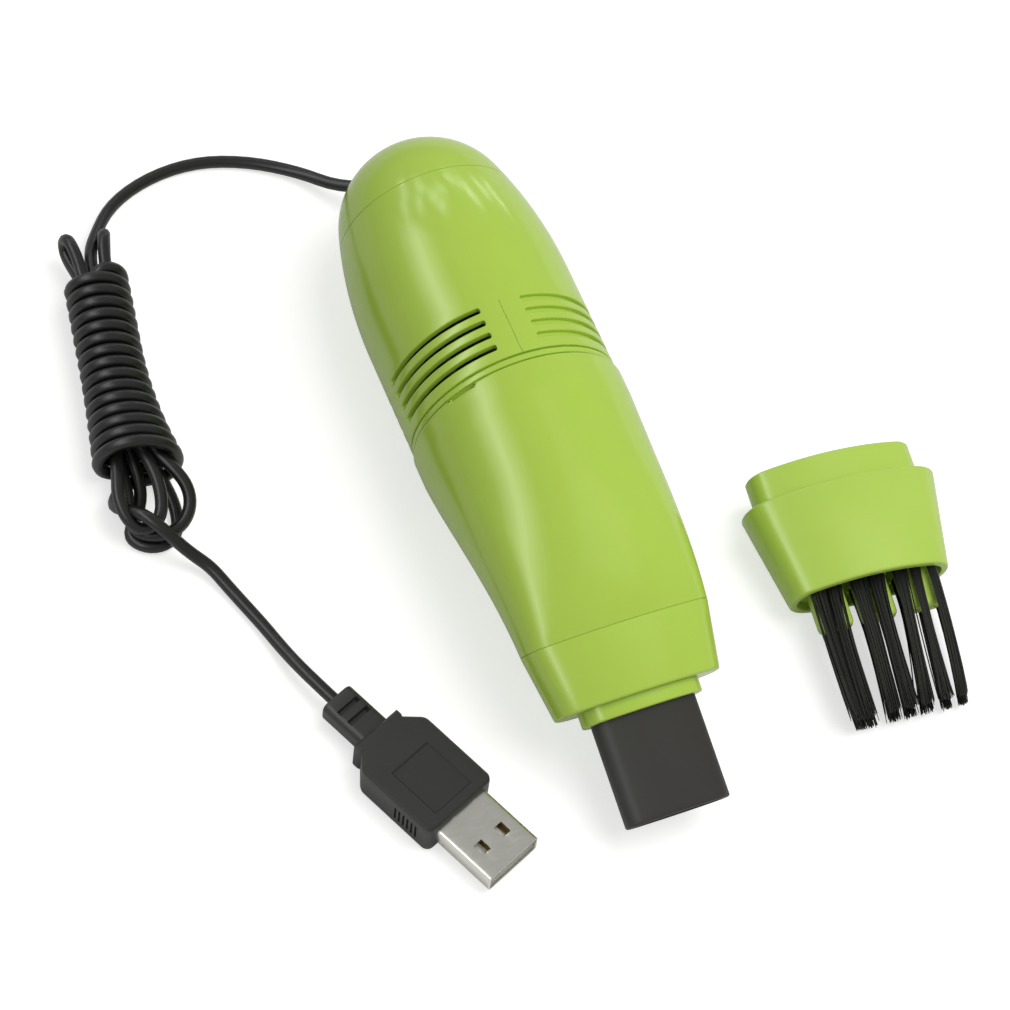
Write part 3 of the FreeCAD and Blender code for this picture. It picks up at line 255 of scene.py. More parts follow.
# glossy ABS from a polished mould: a clear highlight with a trace of orange peel
green_abs = moulded("moulded_abs_green", "#AFCE4E", "#AACA48", 0.17, 2.2, 0.0020, 1.53, spread=0.04)
# the same melt on the brush head reads a little paler, where light passes through its thin wall
pale_green_abs = moulded("moulded_abs_pale_green", "#B4D25A", "#AFCE53", 0.22, 2.2, 0.0030, 1.53)
# spark-eroded black ABS inside the housing
black_abs = moulded("moulded_abs_black", "#1C1C1B", "#222221", 0.45, 0.4, 0.006)
# soft PVC jacket of the cord: satin, extruded smooth
cord_pvc = moulded("extruded_pvc_black", "#141413", "#191918", 0.34, 0.7, 0.003, 1.52, 14.0)
# soft PVC overmould of the plug, a shade greyer, from a matt mould
plug_pvc = moulded("moulded_pvc_charcoal", "#272824", "#2C2D29", 0.42, 0.35, 0.006, 1.52)
# silicone-like rubber of the flat nozzle: matt, with a soft sheen
nozzle_rubber = moulded("moulded_rubber_grey", "#302F2C", "#353430", 0.48, 0.5, 0.008, 1.45)
# drawn nylon filament of the bristles
bristle_nylon = moulded("drawn_nylon_black", "#1B1B19", "#292926", 0.38, 1.5, 0.002)
# the fan wheel behind the vents, and the white liner of the plug
fan_plastic = moulded("moulded_polypropylene_black", "#262625", "#2C2C2B", 0.38, 0.6, 0.004)
liner_plastic = moulded("moulded_liner_white", "#E4E4E0", "#DADAD6", 0.28, 0.6, 0.002)
# small bodies inside the motor housing, and the cloth of the filter
ceramic_body = moulded("dipped_ceramic_ochre", "#B8742A", "#AC6A22", 0.25, 0.8, 0.006)
ferrite = moulded("pressed_ferrite", "#2E2E2F", "#363637", 0.7, 0.25, 0.012)
felt_white = moulded("pressed_felt_white", "#E2E1DC", "#D2D1CB", 0.9, 0.45, 0.060, 1.45, 3.0, 0.04)
print(len(bpy.data.materials), "moulded finishes")

# %% [markdown]
# Metals are bare here: a nickel-plated sheet for the plug, a tin-plated steel can, brass and enamelled copper.
# Fine lines along the drawing direction show how each was made, and the metals keep the default IOR.

# %% Metals
SMOOTHER, ROUGHER = 0.06, 0.08


def drawn_metal(name, colour, dark_colour, roughness, line_mm, stretch):
    """A metal with fine lines, stretched along one direction by the three factors of stretch."""
    material, tree = new_material(name)
    place = add_node(tree, "ShaderNodeTexCoord").outputs["Object"]
    along = add_node(tree, "ShaderNodeMapping", {"Scale": stretch}, {"Vector": place})
    lines = add_node(tree, "ShaderNodeTexNoise", {"Scale": per_metre(line_mm), "Detail": 3.0},
                     {"Vector": along.outputs[0]})
    tint = drifting_colour(tree, lines.outputs["Fac"], dark_colour, colour)
    gloss = add_node(tree, "ShaderNodeMapRange", {"To Min": roughness - SMOOTHER, "To Max": roughness + ROUGHER},
                     {"Value": lines.outputs["Fac"]})
    skin = add_node(tree, "ShaderNodeBsdfPrincipled", {"Metallic": 1.0},
                    {"Base Color": tint, "Roughness": gloss.outputs[0]})
    surface(tree, skin.outputs["BSDF"])
    return material


plated_steel = drawn_metal("nickel_plated_steel", "#EDECE4", "#E2E0D6", 0.24, 0.6, (0.2, 1.0, 1.0))
tinned_steel = drawn_metal("tinned_steel", "#BDBDB8", "#A5A5A0", 0.32, 0.5, (1.0, 0.2, 1.0))
turned_brass = drawn_metal("turned_brass", "#D9BE7C", "#C8AA66", 0.28, 0.4, (1.0, 0.3, 1.0))
enamelled_copper = drawn_metal("enamelled_copper", "#B8653A", "#9A4E2A", 0.3, 0.35, (1.0, 0.4, 1.0))
print("metals ready")

# %% [markdown]
# Most CAD nodes inside the housing already have the right shape and only need their real finish. Assigning to the
# object's material slot leaves their mesh as it is.

# %% Finishes of the inner parts
inner_finishes = {
    "motor_plate": black_abs, "motor_can": tinned_steel, "motor_end_cap": black_abs, "motor_bearings": turned_brass,
    "motor_magnets": ferrite, "motor_brushes": ferrite, "motor_terminals": turned_brass, "capacitor": ceramic_body,
    "motor_screws": tinned_steel, "motor_shaft": tinned_steel, "armature": tinned_steel,
    "windings": enamelled_copper, "commutator": enamelled_copper, "impeller": fan_plastic, "switch_body": black_abs,
    "switch_terminals": turned_brass, "inner_leads": cord_pvc, "plug_insert": liner_plastic,
    "plug_contacts": turned_brass, "shell_screw": tinned_steel, "switch_slider": black_abs,
    "inlet_plate": green_abs, "filter_frame": black_abs}
for node_name, finish in inner_finishes.items():
    for material_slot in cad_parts[node_name].material_slots:
        material_slot.material = finish
print(len(inner_finishes), "nodes finished")

# %% [markdown]
# Every new piece ends the same way: its drawing is moved to its place, it becomes an object at the origin, it rides
# on its body and it stands for the CAD node it dresses. One helper does that, and shades curves smooth up to an angle.

# %% Piece helper
SAME_POINT = 0.00001


def make_piece(name, bm, placement, finish, body, stands_for=(), sharp=32):
    """Turn a finished drawing into a piece of the model."""
    bmesh.ops.transform(bm, matrix=placement, verts=bm.verts)
    mesh = bpy.data.meshes.new(name)
    bm.to_mesh(mesh)
    bm.free()
    mesh.shade_smooth()
    mesh.set_sharp_from_angle(angle=math.radians(sharp))
    mesh.materials.append(finish)
    piece = new_object(name, mesh)
    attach(piece, body)
    if stands_for:
        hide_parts(*stands_for)
    print(name, len(mesh.polygons), "faces")
    return piece


def smooth_copy(node_name, finish, body):
    """A merged copy of a CAD node, whose small curves are then shaded smooth."""
    bm = bmesh.new()
    bm.from_mesh(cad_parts[node_name].data)
    bmesh.ops.remove_doubles(bm, verts=bm.verts, dist=SAME_POINT)
    return make_piece(node_name + "_smooth", bm, Matrix.Identity(4), finish, body, [node_name])


smooth_copy("inlet_plate", green_abs, "housing")
smooth_copy("shell_screw", tinned_steel, "housing")
smooth_copy("switch_slider", black_abs, "switch_knob")

# %% [markdown]
# Round parts are drawn as half a section and spun, as on a lathe. Flat oval parts are drawn as a row of rings: each
# ring is extruded from the one before and moved to its place, which keeps the faces even along the part.

# %% Shape helpers
def section(bm, points):
    """A chain of edges through (radius, y) points, standing above the Y axis."""
    verts = [bm.verts.new((0.0, y, radius)) for radius, y in points]
    return verts + [bm.edges.new(pair) for pair in zip(verts, verts[1:])]


def turned_part(points, steps, drop=0.0):
    """A section spun fully round the Y axis and then lowered by drop."""
    bm = bmesh.new()
    bmesh.ops.spin(bm, geom=section(bm, points), cent=(0, 0, 0), axis=(0, 1, 0), angle=math.tau, steps=steps,
                   use_merge=True)
    bmesh.ops.remove_doubles(bm, verts=bm.verts, dist=0.0005)
    bmesh.ops.recalc_face_normals(bm, faces=bm.faces)
    bmesh.ops.translate(bm, vec=(0, 0, -drop), verts=bm.verts)
    return bm


def add_drawing(bm, other):
    """Add another drawing to this one."""
    carrier = bpy.data.meshes.new("carrier")
    other.to_mesh(carrier)
    other.free()
    bm.from_mesh(carrier)
    bpy.data.meshes.remove(carrier)


def loop_edges(bm, ring):
    """The edges of a closed ring of vertices."""
    return [bm.edges.get((a, b)) for a, b in zip(ring, ring[1:] + ring[:1])]


def new_circle(bm, count, radius):
    """A fresh circle in the XY plane, with its vertices in order round it."""
    verts = bmesh.ops.create_circle(bm, segments=count, radius=radius)["verts"]
    return sorted(verts, key=lambda v: math.atan2(v.co.y, v.co.x))


def next_ring(bm, ring):
    """Extrude a closed ring of edges once, and give the new vertices in the same order."""
    made = bmesh.ops.extrude_edge_only(bm, edges=loop_edges(bm, ring))["geom"]
    fresh = {g for g in made if isinstance(g, bmesh.types.BMVert)}
    return [next(e.other_vert(v) for e in v.link_edges if e.other_vert(v) in fresh) for v in ring]


def ringed_part(bm, rings, closed=False):
    """Extrude a ring of edges through all places in rings. Closed joins the last ring to the first."""
    first = new_circle(bm, len(rings[0]), 1.0)
    for vert, point in zip(first, rings[0]):
        vert.co = point
    ring = first
    for places in rings[1:]:
        ring = next_ring(bm, ring)
        for vert, point in zip(ring, places):
            vert.co = point
    if closed:
        bmesh.ops.bridge_loops(bm, edges=loop_edges(bm, first) + loop_edges(bm, ring))
        bmesh.ops.recalc_face_normals(bm, faces=bm.faces)
    return first, ring


def oval_reach(half_width, half_height, end_radius, angle):
    """How far an oval of four tangent arcs reaches at an angle from the top."""
    across, up = abs(math.sin(angle)), abs(math.cos(angle))
    spread = half_width - end_radius
    if spread < 1e-6:
        return half_width
    flank = (spread ** 2 + half_height ** 2 - end_radius ** 2) / (2 * (half_height - end_radius))
    sine = spread / (flank - end_radius)
    corner_x, corner_z = flank * sine, half_height - flank * (1 - math.sqrt(1 - sine ** 2))
    if across * corner_z > up * corner_x:
        centre_x, centre_z, radius = spread, 0.0, end_radius
    else:
        centre_x, centre_z, radius = 0.0, half_height - flank, flank
    middle = across * centre_x + up * centre_z
    return middle + math.sqrt(middle ** 2 - centre_x ** 2 - centre_z ** 2 + radius ** 2)


OVAL_POINTS = 144
ANGLES = [math.tau * k / OVAL_POINTS for k in range(OVAL_POINTS)]


def ring_at(y, reaches):
    """A ring round the Y axis that reaches as far as given at each of the angles."""
    return [Vector((r * math.sin(a), y, r * math.cos(a))) for r, a in zip(reaches, ANGLES)]


def oval(size, y, inset=0.0):
    """One ring of an oval part: size is half width, half height and end radius."""
    return ring_at(y, [oval_reach(*[s - inset for s in size], angle) for angle in ANGLES])


def faces_outwards(face):
    """Whether a face of a wall looks away from the Y axis."""
    centre = face.calc_center_median()
    return face.normal.x * centre.x + face.normal.z * centre.z > 0


def give_wall(bm, thickness, probe=None):
    """Turn a skin's normals outwards, as seen at the probe or at the first face, and thicken it inwards."""
    bmesh.ops.recalc_face_normals(bm, faces=bm.faces)
    if not faces_outwards(probe or bm.faces[:][0]):
        bmesh.ops.reverse_faces(bm, faces=bm.faces)
    bmesh.ops.solidify(bm, geom=bm.faces, thickness=thickness)
    bm.normal_update()


def sharp_edges(bm, test=lambda a, b: True):
    """Edges whose two faces meet at more than 50 degrees and whose two ends pass a test."""
    return [e for e in bm.edges if len(e.link_faces) == 2 and e.calc_face_angle() > math.radians(50)
            and test(*(v.co for v in e.verts))]


def faces_where(bm, test, direction=None):
    """The faces whose middles pass a test, and which look along a direction if there is one."""
    return [f for f in bm.faces if test(f.calc_center_median())
            and (direction is None or f.normal.dot(direction) > 0.8)]


def cut_out(bm, faces):
    bmesh.ops.delete(bm, geom=faces, context="FACES")


def reach(point):
    """How far a point lies from the Y axis."""
    return math.hypot(point.x, point.z)


def bearing(point):
    """The angle of a point round the Y axis in degrees, from the top towards the right."""
    return math.degrees(math.atan2(point.x, point.z))


def push_in(bm, faces, depth, softness):
    """Sink a group of faces by depth behind a rim that is softness wide."""
    bmesh.ops.inset_region(bm, faces=faces, thickness=softness, depth=-depth, use_even_offset=True)


def soften(bm, edges, size, segments, profile=0.5, clamp=False):
    """Round edges, or chamfer them when there is one segment."""
    bmesh.ops.bevel(bm, geom=edges, offset=size, segments=segments, affect="EDGES", profile=profile, material=-1,
                    clamp_overlap=clamp)


print("helpers ready, oval of", OVAL_POINTS, "points")

# %% [markdown]
# The rear housing is a round barrel that closes in a long shoulder and a ball nose. Its outline is one straight run,
# one long arc and one short arc that meet without a corner.

# %% Housing outline
DOME_RADIUS, DOME_BARREL, NOSE_RADIUS, DOME_LENGTH, SEAM_Y = 20.0, 22.0, 17.0, 59.2, 43.0
SHOULDER_RADIUS, SHOULDER_END = 86.5, 47.14
SHELL_WALL = 1.6


def dome_radius_at(y):
    """The housing's radius at a station along its axis."""
    if y <= DOME_BARREL:
        return DOME_RADIUS
    if y <= SHOULDER_END:
        return DOME_RADIUS - SHOULDER_RADIUS + math.sqrt(SHOULDER_RADIUS ** 2 - (y - DOME_BARREL) ** 2)
    return math.sqrt(max(0.0, NOSE_RADIUS ** 2 - (y - DOME_LENGTH + NOSE_RADIUS) ** 2))


print("radius at the cap seam", round(dome_radius_at(SEAM_Y), 2), "mm")

# %% [markdown]
# Each half shell carries two rows of four slots. On the left they are open vents, on the right only sunk lines.
# Booleans would leave ragged faces on a glossy curve, so the section is spun in stretches whose columns already lie on
# the slot ends, and whose rows lie on the slot sides. The slot faces are then deleted or pushed in.

# %% Half shells
SLOT_ROWS = [2.71 + 2.72 * k for k in range(4)]
SLOT_HALF = 0.6
SLOT_SPANS = ((11.3, 81.7), (98.3, 168.7))
# degrees and columns of each stretch, from the top seam to the bottom seam
STRETCHES = ((1.2, 2), (10.1, 6), (70.4, 36), (16.6, 8), (70.4, 36), (7.1, 4), (3.0, 2), (1.2, 2))
BLIND_DEPTH, BLIND_RIM = 0.8, 0.03
CORNER_RADIUS, RIM_RADIUS, VENT_FLARE = 0.4, 0.22, 0.7
SLOT_ZONE_START, SLOT_ZONE_END, SEAM_HALF = 1.0, 12.0, 1.0
SCREW_Y, SCREW_DROP, COUNTERBORE_RADIUS, SCREW_SEAT_X = 23.5, 13.4, 2.15, 6.0
PATCH_HALF_LENGTH, PATCH_HALF_HEIGHT = 3.0, 2.75
SWITCH_START, SWITCH_END, SWITCH_HALF = 32.3, 37.7, 1.4
# further back the rows lie on the screw patch and on the switch slot
REAR_ROWS = [13.5, 16.0, 18.5, 20.5, 22.0, 23.5, 25.0, 26.5, 28.4, 30.3, SWITCH_START, 35.0, SWITCH_END, 39.5, 41.3,
             SEAM_Y]
NEAR = 0.05


def in_slot(middle):
    beside = any(low < bearing(middle) < high for low, high in SLOT_SPANS)
    return beside and any(abs(middle.y - y) < SLOT_HALF for y in SLOT_ROWS)


def in_switch_slot(middle):
    return SWITCH_START < middle.y < SWITCH_END and middle.z < 0 and middle.x < SWITCH_HALF


def in_screw_patch(middle):
    return abs(middle.y - SCREW_Y) < PATCH_HALF_LENGTH and abs(middle.z + SCREW_DROP) < PATCH_HALF_HEIGHT


def in_slot_zone(a, b):
    """Whether an edge lies in the stretch of the slots and away from the seams."""
    return SLOT_ZONE_START < min(a.y, b.y) and max(a.y, b.y) < SLOT_ZONE_END and abs(a.x) > SEAM_HALF


def spun_half_skin(bm):
    """The outer skin of the right-hand half, from the top seam round to the bottom seam."""
    rows = [0.0] + sorted(y + d for y in SLOT_ROWS for d in (-SLOT_HALF, SLOT_HALF)) + REAR_ROWS
    geometry = section(bm, [(dome_radius_at(y), y) for y in rows])
    for stretch, steps in STRETCHES:
        geometry = bmesh.ops.spin(bm, geom=geometry, cent=(0, 0, 0), axis=(0, 1, 0), angle=math.radians(stretch),
                                  steps=steps)["geom_last"]


def sink_screw_hole(bm):
    """Swap a patch of the skin for a round counterbore that runs in along X."""
    patch = [f for f in faces_where(bm, in_screw_patch) if faces_outwards(f)]
    cut_out(bm, patch)
    rim = [e for e in bm.edges if e.is_boundary]
    circle = new_circle(bm, len(rim), COUNTERBORE_RADIUS)
    for vert in circle:
        y, z = SCREW_Y + vert.co.x, vert.co.y - SCREW_DROP
        vert.co = (math.sqrt(dome_radius_at(y) ** 2 - z ** 2), y, z)
    edge = loop_edges(bm, circle)
    bmesh.ops.bridge_loops(bm, edges=rim + edge)
    wall = bmesh.ops.extrude_edge_only(bm, edges=edge)["geom"]
    for vert in [g for g in wall if isinstance(g, bmesh.types.BMVert)]:
        vert.co.x = SCREW_SEAT_X
    bmesh.ops.contextual_create(bm, geom=[g for g in wall if isinstance(g, bmesh.types.BMEdge)])
    bmesh.ops.recalc_face_normals(bm, faces=bm.faces)
    print("screw hole:", len(patch), "faces swapped for a ring of", len(rim))


def round_slot_rims(bm):
    """Fillet the slot corners, flare the vents behind the skin, then soften their rims and the front edge."""
    corners = sharp_edges(bm, lambda a, b: in_slot_zone(a, b) and abs(a.y - b.y) < NEAR
                          and abs(reach(a) - reach(b)) > BLIND_DEPTH / 2)
    soften(bm, corners, CORNER_RADIUS, 3, clamp=True)
    inner = sharp_edges(bm, lambda a, b: in_slot_zone(a, b)
                        and max(reach(a), reach(b)) < DOME_RADIUS - SHELL_WALL + NEAR)
    soften(bm, inner, VENT_FLARE, 1, clamp=True)
    rims = sharp_edges(bm, lambda a, b: max(a.y, b.y) < SLOT_ZONE_END and (a.z > 0 or max(abs(a.x), abs(b.x)) > 0.01)
                       and min(reach(a), reach(b)) > dome_radius_at(a.y) - NEAR)
    soften(bm, rims, RIM_RADIUS, 3, clamp=True)


def half_shell(side):
    """One half of the rear housing: side is 1 for the right and -1 for the left."""
    bm = bmesh.new()
    spun_half_skin(bm)
    cut_out(bm, faces_where(bm, in_switch_slot))
    if side < 0:
        cut_out(bm, faces_where(bm, in_slot))
        bmesh.ops.scale(bm, vec=(-1, 1, 1), verts=bm.verts)
    give_wall(bm, SHELL_WALL)
    if side > 0:
        push_in(bm, [f for f in faces_where(bm, in_slot) if faces_outwards(f)], BLIND_DEPTH, BLIND_RIM)
        sink_screw_hole(bm)
    bm.normal_update()
    round_slot_rims(bm)
    return bm


make_piece("left_half_shell", half_shell(-1), in_housing, green_abs, "housing", ["rear_shell_left"])
make_piece("right_half_shell", half_shell(1), in_housing, green_abs, "housing",
           ["rear_shell_right"])

# %% [markdown]
# The rear cap closes the housing behind a fine groove, and a short round boss on it holds the cord grommet. Both are
# turned shapes, so both are spun; the boss turns round its own line below the axis.

# %% Rear cap and grommet
EXIT_DROP = 12.0
NOSE_START, NOSE_SWEEP = 16.9, 73.1
NOSE_MIDDLE = DOME_LENGTH - NOSE_RADIUS
SEAM_DEPTH, SEAM_END, SEAM_SOFTNESS = 0.18, 43.14, 0.06


def nose_arc(radius, degrees):
    """Points of a round nose, given by their angle from the barrel's side."""
    return [(radius * math.cos(math.radians(d)), NOSE_MIDDLE + radius * math.sin(math.radians(d))) for d in degrees]


def rear_cap():
    """The ball nose with its seam groove, its inner wall and the cord boss."""
    rim = dome_radius_at(SEAM_Y)
    outline = [(rim - SHELL_WALL, SEAM_Y), (rim - SEAM_DEPTH, SEAM_Y), (rim - SEAM_DEPTH, SEAM_END),
               (rim - SEAM_SOFTNESS, 43.2)]
    outline += [(dome_radius_at(y), y) for y in (43.5, 44.5, 45.8, SHOULDER_END)]
    outline += nose_arc(NOSE_RADIUS, [NOSE_START + NOSE_SWEEP * k / 20 for k in range(1, 21)])
    outline += nose_arc(NOSE_RADIUS - SHELL_WALL, [90 - NOSE_SWEEP * k / 10 for k in range(11)])
    bm = turned_part(outline + outline[:1], 128)
    add_drawing(bm, turned_part([(2.3, 50.0), (3.8, 50.0), (3.8, 55.7), (3.72, 55.92), (3.5, 56.0), (2.3, 56.0),
                                 (2.3, 50.0)], 48, EXIT_DROP))
    return bm


def grommet():
    """The soft ring round the cord, with a flange outside the boss."""
    return turned_part([(1.25, 46.0), (2.2, 46.0), (2.2, 56.0), (3.1, 56.0), (3.1, 56.6), (2.95, 56.83), (2.7, 56.9),
                        (1.25, 56.9), (1.25, 46.0)], 48, EXIT_DROP)


make_piece("rear_cap_shell", rear_cap(), in_housing, green_abs, "housing", ["rear_cap"])
make_piece("grommet_ring", grommet(), in_housing, cord_pvc, "housing", ["cord_grommet"])

# %% [markdown]
# The dust cup starts round, where it pushes onto the housing, and flattens into a drooping oval mouth. A tapered
# cylinder would miss the way its flanks stay full, so every ring is worked out at its own depth and turned by its
# share of the droop. The wall is then given its thickness, and the rear rim is rounded.

# %% Dust cup
CUP_RADIUS, CUP_REAR, CUP_STRAIGHT, CUP_WALL = 20.4, 1.9, 7.0, 1.5
CUP_NARROWING, CUP_FLATTENING, CUP_FULLNESS = 2.7, 11.9, 1.15
END_FLATNESS, END_SHARE = 2.0, 0.3
NOTCH_DEPTH, NOTCH_FROM, NOTCH_TO = 2.5, -45.1, -30.9
CUP_RIM_RADIUS = 0.45


def cup_ring(depth):
    """The cup's outer section at a depth in front of the housing."""
    share = max(0.0, (depth - CUP_STRAIGHT) / (CUP_LENGTH - CUP_STRAIGHT))
    blend = share ** CUP_FULLNESS
    half_width, half_height = CUP_RADIUS - CUP_NARROWING * blend, CUP_RADIUS - CUP_FLATTENING * blend
    end_radius = half_height - END_FLATNESS * min(1.0, share / END_SHARE)
    sag = math.tan(droop) * (CUP_LENGTH - CUP_STRAIGHT) * share ** 2 * (1 - share)
    move = Matrix.Translation((0, -depth, sag)) @ Matrix.Rotation(droop * share, 4, "X")
    return [move @ point for point in oval((half_width, half_height, end_radius), 0.0)]


def in_notch(middle):
    return middle.y > -NOTCH_DEPTH and NOTCH_FROM < bearing(middle) < NOTCH_TO


def dust_cup():
    """The cup's skin, a finger notch in its rear edge, then its wall and its rounded rear rim."""
    bm = bmesh.new()
    depths = [CUP_REAR, 2.5, 3.4, 4.6, 5.8]
    depths += [CUP_STRAIGHT + (CUP_LENGTH - CUP_STRAIGHT) * k / 36 for k in range(37)]
    ringed_part(bm, [cup_ring(depth) for depth in depths])
    cut_out(bm, faces_where(bm, in_notch))
    give_wall(bm, CUP_WALL, max(bm.faces, key=lambda f: f.calc_center_median().y))
    rear = sharp_edges(bm, lambda a, b: max(a.y, b.y) > -NOTCH_DEPTH - 0.1 and abs(a.y - b.y) < 0.1
                       and min(reach(a), reach(b)) > CUP_RADIUS - 0.2)
    soften(bm, rear, CUP_RIM_RADIUS, 4, clamp=True)
    return bm


make_piece("dust_cup_shell", dust_cup(), in_housing, green_abs, "cup", ["dust_cup"])

# %% [markdown]
# The filter bag is a tapered sleeve of thin white non-woven cloth with a closed front. It is welded in fine pleats to
# its frame, which a cone would not show, so every ring of it is a wavy circle, and the rings shrink to its tip.

# %% Filter bag
BAG_ROOT, BAG_TIP, BAG_REAR, BAG_FRONT, BAG_ROUND = 14.3, 8.2, -3.1, -20.0, 0.6
PLEATS, PLEAT_DEPTH, TIP_PLEATS, CLOTH = 24, 0.3, 0.1, 0.5


def pleated_ring(radius, y, depth):
    """A circle that waves in and out once per pleat."""
    return ring_at(y, [radius - depth * (1 - math.cos(PLEATS * a)) / 2 for a in ANGLES])


def filter_cloth():
    """The pleated sleeve, whose pleats are deepest in its middle, with its closed front."""
    bm = bmesh.new()
    rings = []
    for k in range(11):
        share = k / 10
        depth = PLEAT_DEPTH * math.sin(math.pi * (share + 0.1) / 1.2)
        rings.append(pleated_ring(BAG_ROOT + (BAG_TIP - BAG_ROOT) * share,
                                  BAG_REAR + (BAG_FRONT + BAG_ROUND - BAG_REAR) * share, depth))
    rings += [pleated_ring(BAG_TIP - BAG_ROUND, BAG_FRONT, TIP_PLEATS), pleated_ring(4.0, BAG_FRONT, 0),
              pleated_ring(0.8, BAG_FRONT, 0)]
    bm.faces.new(ringed_part(bm, rings)[1])
    give_wall(bm, CLOTH)
    return bm


bag = make_piece("filter_cloth_bag", filter_cloth(), in_housing, felt_white, "filter", ["filter_bag"])

# %% [markdown]
# The flat nozzle plugs into the mouth of the cup: a green collar with a spigot behind it, a short sleeve, and a flat
# rubber tube. All three are ovals that run along one line, so each is one closed chain of rings, down the outside
# and back up the inside.

# %% Nozzle collar, sleeve and tube
SEAT, SEAT_SOFTNESS = (17.7, 8.5, 6.5), 0.14
COLLAR_FRONT, COLLAR_ROUND = (15.7, 7.8, 6.2), 0.5
SPIGOT, SPIGOT_BORE = (15.85, 6.65, 4.65), (14.55, 5.35, 3.35)
SLEEVE, SLEEVE_WALL, SLEEVE_END, SLEEVE_ROUND = (11.35, 5.8, 5.0), 1.4, -15.35, 0.35
TUBE, TUBE_WALL, TUBE_END, TUBE_ROUND = (9.85, 4.3, 3.5), 1.4, -34.35, 0.4
COLLAR_LENGTH, SPIGOT_LENGTH = 12.6, 6.5
# how far forward the sleeve and the tube sit in the collar
SOCKET = -11.0


def rounded_end(size, y, radius, towards, turns=3):
    """Rings that carry an oval's side round to its end face, or back when towards is 1."""
    angles = [math.radians(90 * k / turns) for k in range(turns + 1)]
    return [oval(size, y - towards * radius * (1 - math.sin(a)), radius * (1 - math.cos(a))) for a in angles]


def closed_part(rings):
    """A hollow part from one closed chain of rings."""
    bm = bmesh.new()
    ringed_part(bm, rings, closed=True)
    return bm


def nozzle_collar():
    rings = [oval(SPIGOT, 0.0), oval(SEAT, 0.0, SEAT_SOFTNESS), oval(SEAT, -SEAT_SOFTNESS)]
    rings += rounded_end(COLLAR_FRONT, -COLLAR_LENGTH, COLLAR_ROUND, -1)
    rings += [oval(SLEEVE, -COLLAR_LENGTH, SLEEVE_WALL), oval(SLEEVE, SOCKET, SLEEVE_WALL), oval(SPIGOT_BORE, SOCKET)]
    return closed_part(rings + [oval(SPIGOT_BORE, SPIGOT_LENGTH), oval(SPIGOT, SPIGOT_LENGTH)])


def nozzle_sleeve():
    """The sleeve, whose root lies just within the collar so that no edge shows between them."""
    inset, gap = SLEEVE_WALL + 0.05, 0.02
    rings = [oval(SLEEVE, SOCKET, inset), oval(SLEEVE, -COLLAR_LENGTH, inset), oval(SLEEVE, -COLLAR_LENGTH - gap)]
    rings += rounded_end(SLEEVE, SLEEVE_END, SLEEVE_ROUND, -1)
    return closed_part(rings + [oval(TUBE, SLEEVE_END, -gap), oval(TUBE, SOCKET, -gap)])


def rubber_tube():
    """The tube, in even lengths, with a rounded mouth."""
    rings = [oval(TUBE, SOCKET)] + [oval(TUBE, -15.0 - 3.6 * k) for k in range(6)]
    rings += rounded_end(TUBE, TUBE_END, TUBE_ROUND, -1)
    return closed_part(rings + [oval(TUBE, TUBE_END, TUBE_WALL - 0.15), oval(TUBE, TUBE_END + 0.25, TUBE_WALL),
                                oval(TUBE, SOCKET, TUBE_WALL)])


make_piece("collar_shell", nozzle_collar(), in_mouth, green_abs, "nozzle", ["nozzle_collar"])
make_piece("sleeve_shell", nozzle_sleeve(), in_mouth, green_abs, "nozzle", ["nozzle_sleeve"])
make_piece("rubber_tube", rubber_tube(), in_mouth, nozzle_rubber, "nozzle", ["rubber_nozzle"])

# %% [markdown]
# The spare head has the same spigot as the nozzle, an oval collar that narrows towards the front, and a comb of three
# flat fingers among the bristles. The comb's root is three blocks with an air slot between each two.

# %% Brush collar and fingers
HEAD, HEAD_FRONT, HEAD_ROUND = (18.6, HEAD_HALF_HEIGHT, 7.0), (15.4, 7.6, 5.8), 0.5
HEAD_LENGTH, HEAD_WALL, SPIGOT_ROUND = 18.9, 1.5, 0.3
FINGER_SIZE, FINGER_PITCH, FINGER_END, FINGER_ROUND = (6.6, 9.2, 3.2), 8.4, -25.4, 1.0
BLOCKS, BLOCK_LENGTH, BLOCK_HEIGHT, BLOCK_MIDDLE = ((-12.8, -5.1), (-3.3, 3.3), (5.1, 12.8)), 6.0, 9.0, -14.4


def brush_collar():
    rings = [oval(SPIGOT, 0.0)] + rounded_end(HEAD, 0.0, HEAD_ROUND, 1)[::-1]
    rings += rounded_end(HEAD_FRONT, -HEAD_LENGTH, HEAD_ROUND, -1)
    rings += [oval(HEAD_FRONT, -HEAD_LENGTH, HEAD_WALL - 0.15), oval(HEAD_FRONT, -HEAD_LENGTH + 0.2, HEAD_WALL)]
    rings += [oval(SPIGOT_BORE, 0.0), oval(SPIGOT_BORE, SPIGOT_LENGTH)]
    return closed_part(rings + [oval(SPIGOT, SPIGOT_LENGTH, SPIGOT_ROUND), oval(SPIGOT, SPIGOT_LENGTH - SPIGOT_ROUND)])


def block(bm, size, x, y):
    """A box of a size, with its middle at x and y."""
    made = bmesh.ops.create_cube(bm, size=1.0)["verts"]
    bmesh.ops.scale(bm, vec=size, verts=made)
    bmesh.ops.translate(bm, vec=(x, y, 0), verts=made)
    return made


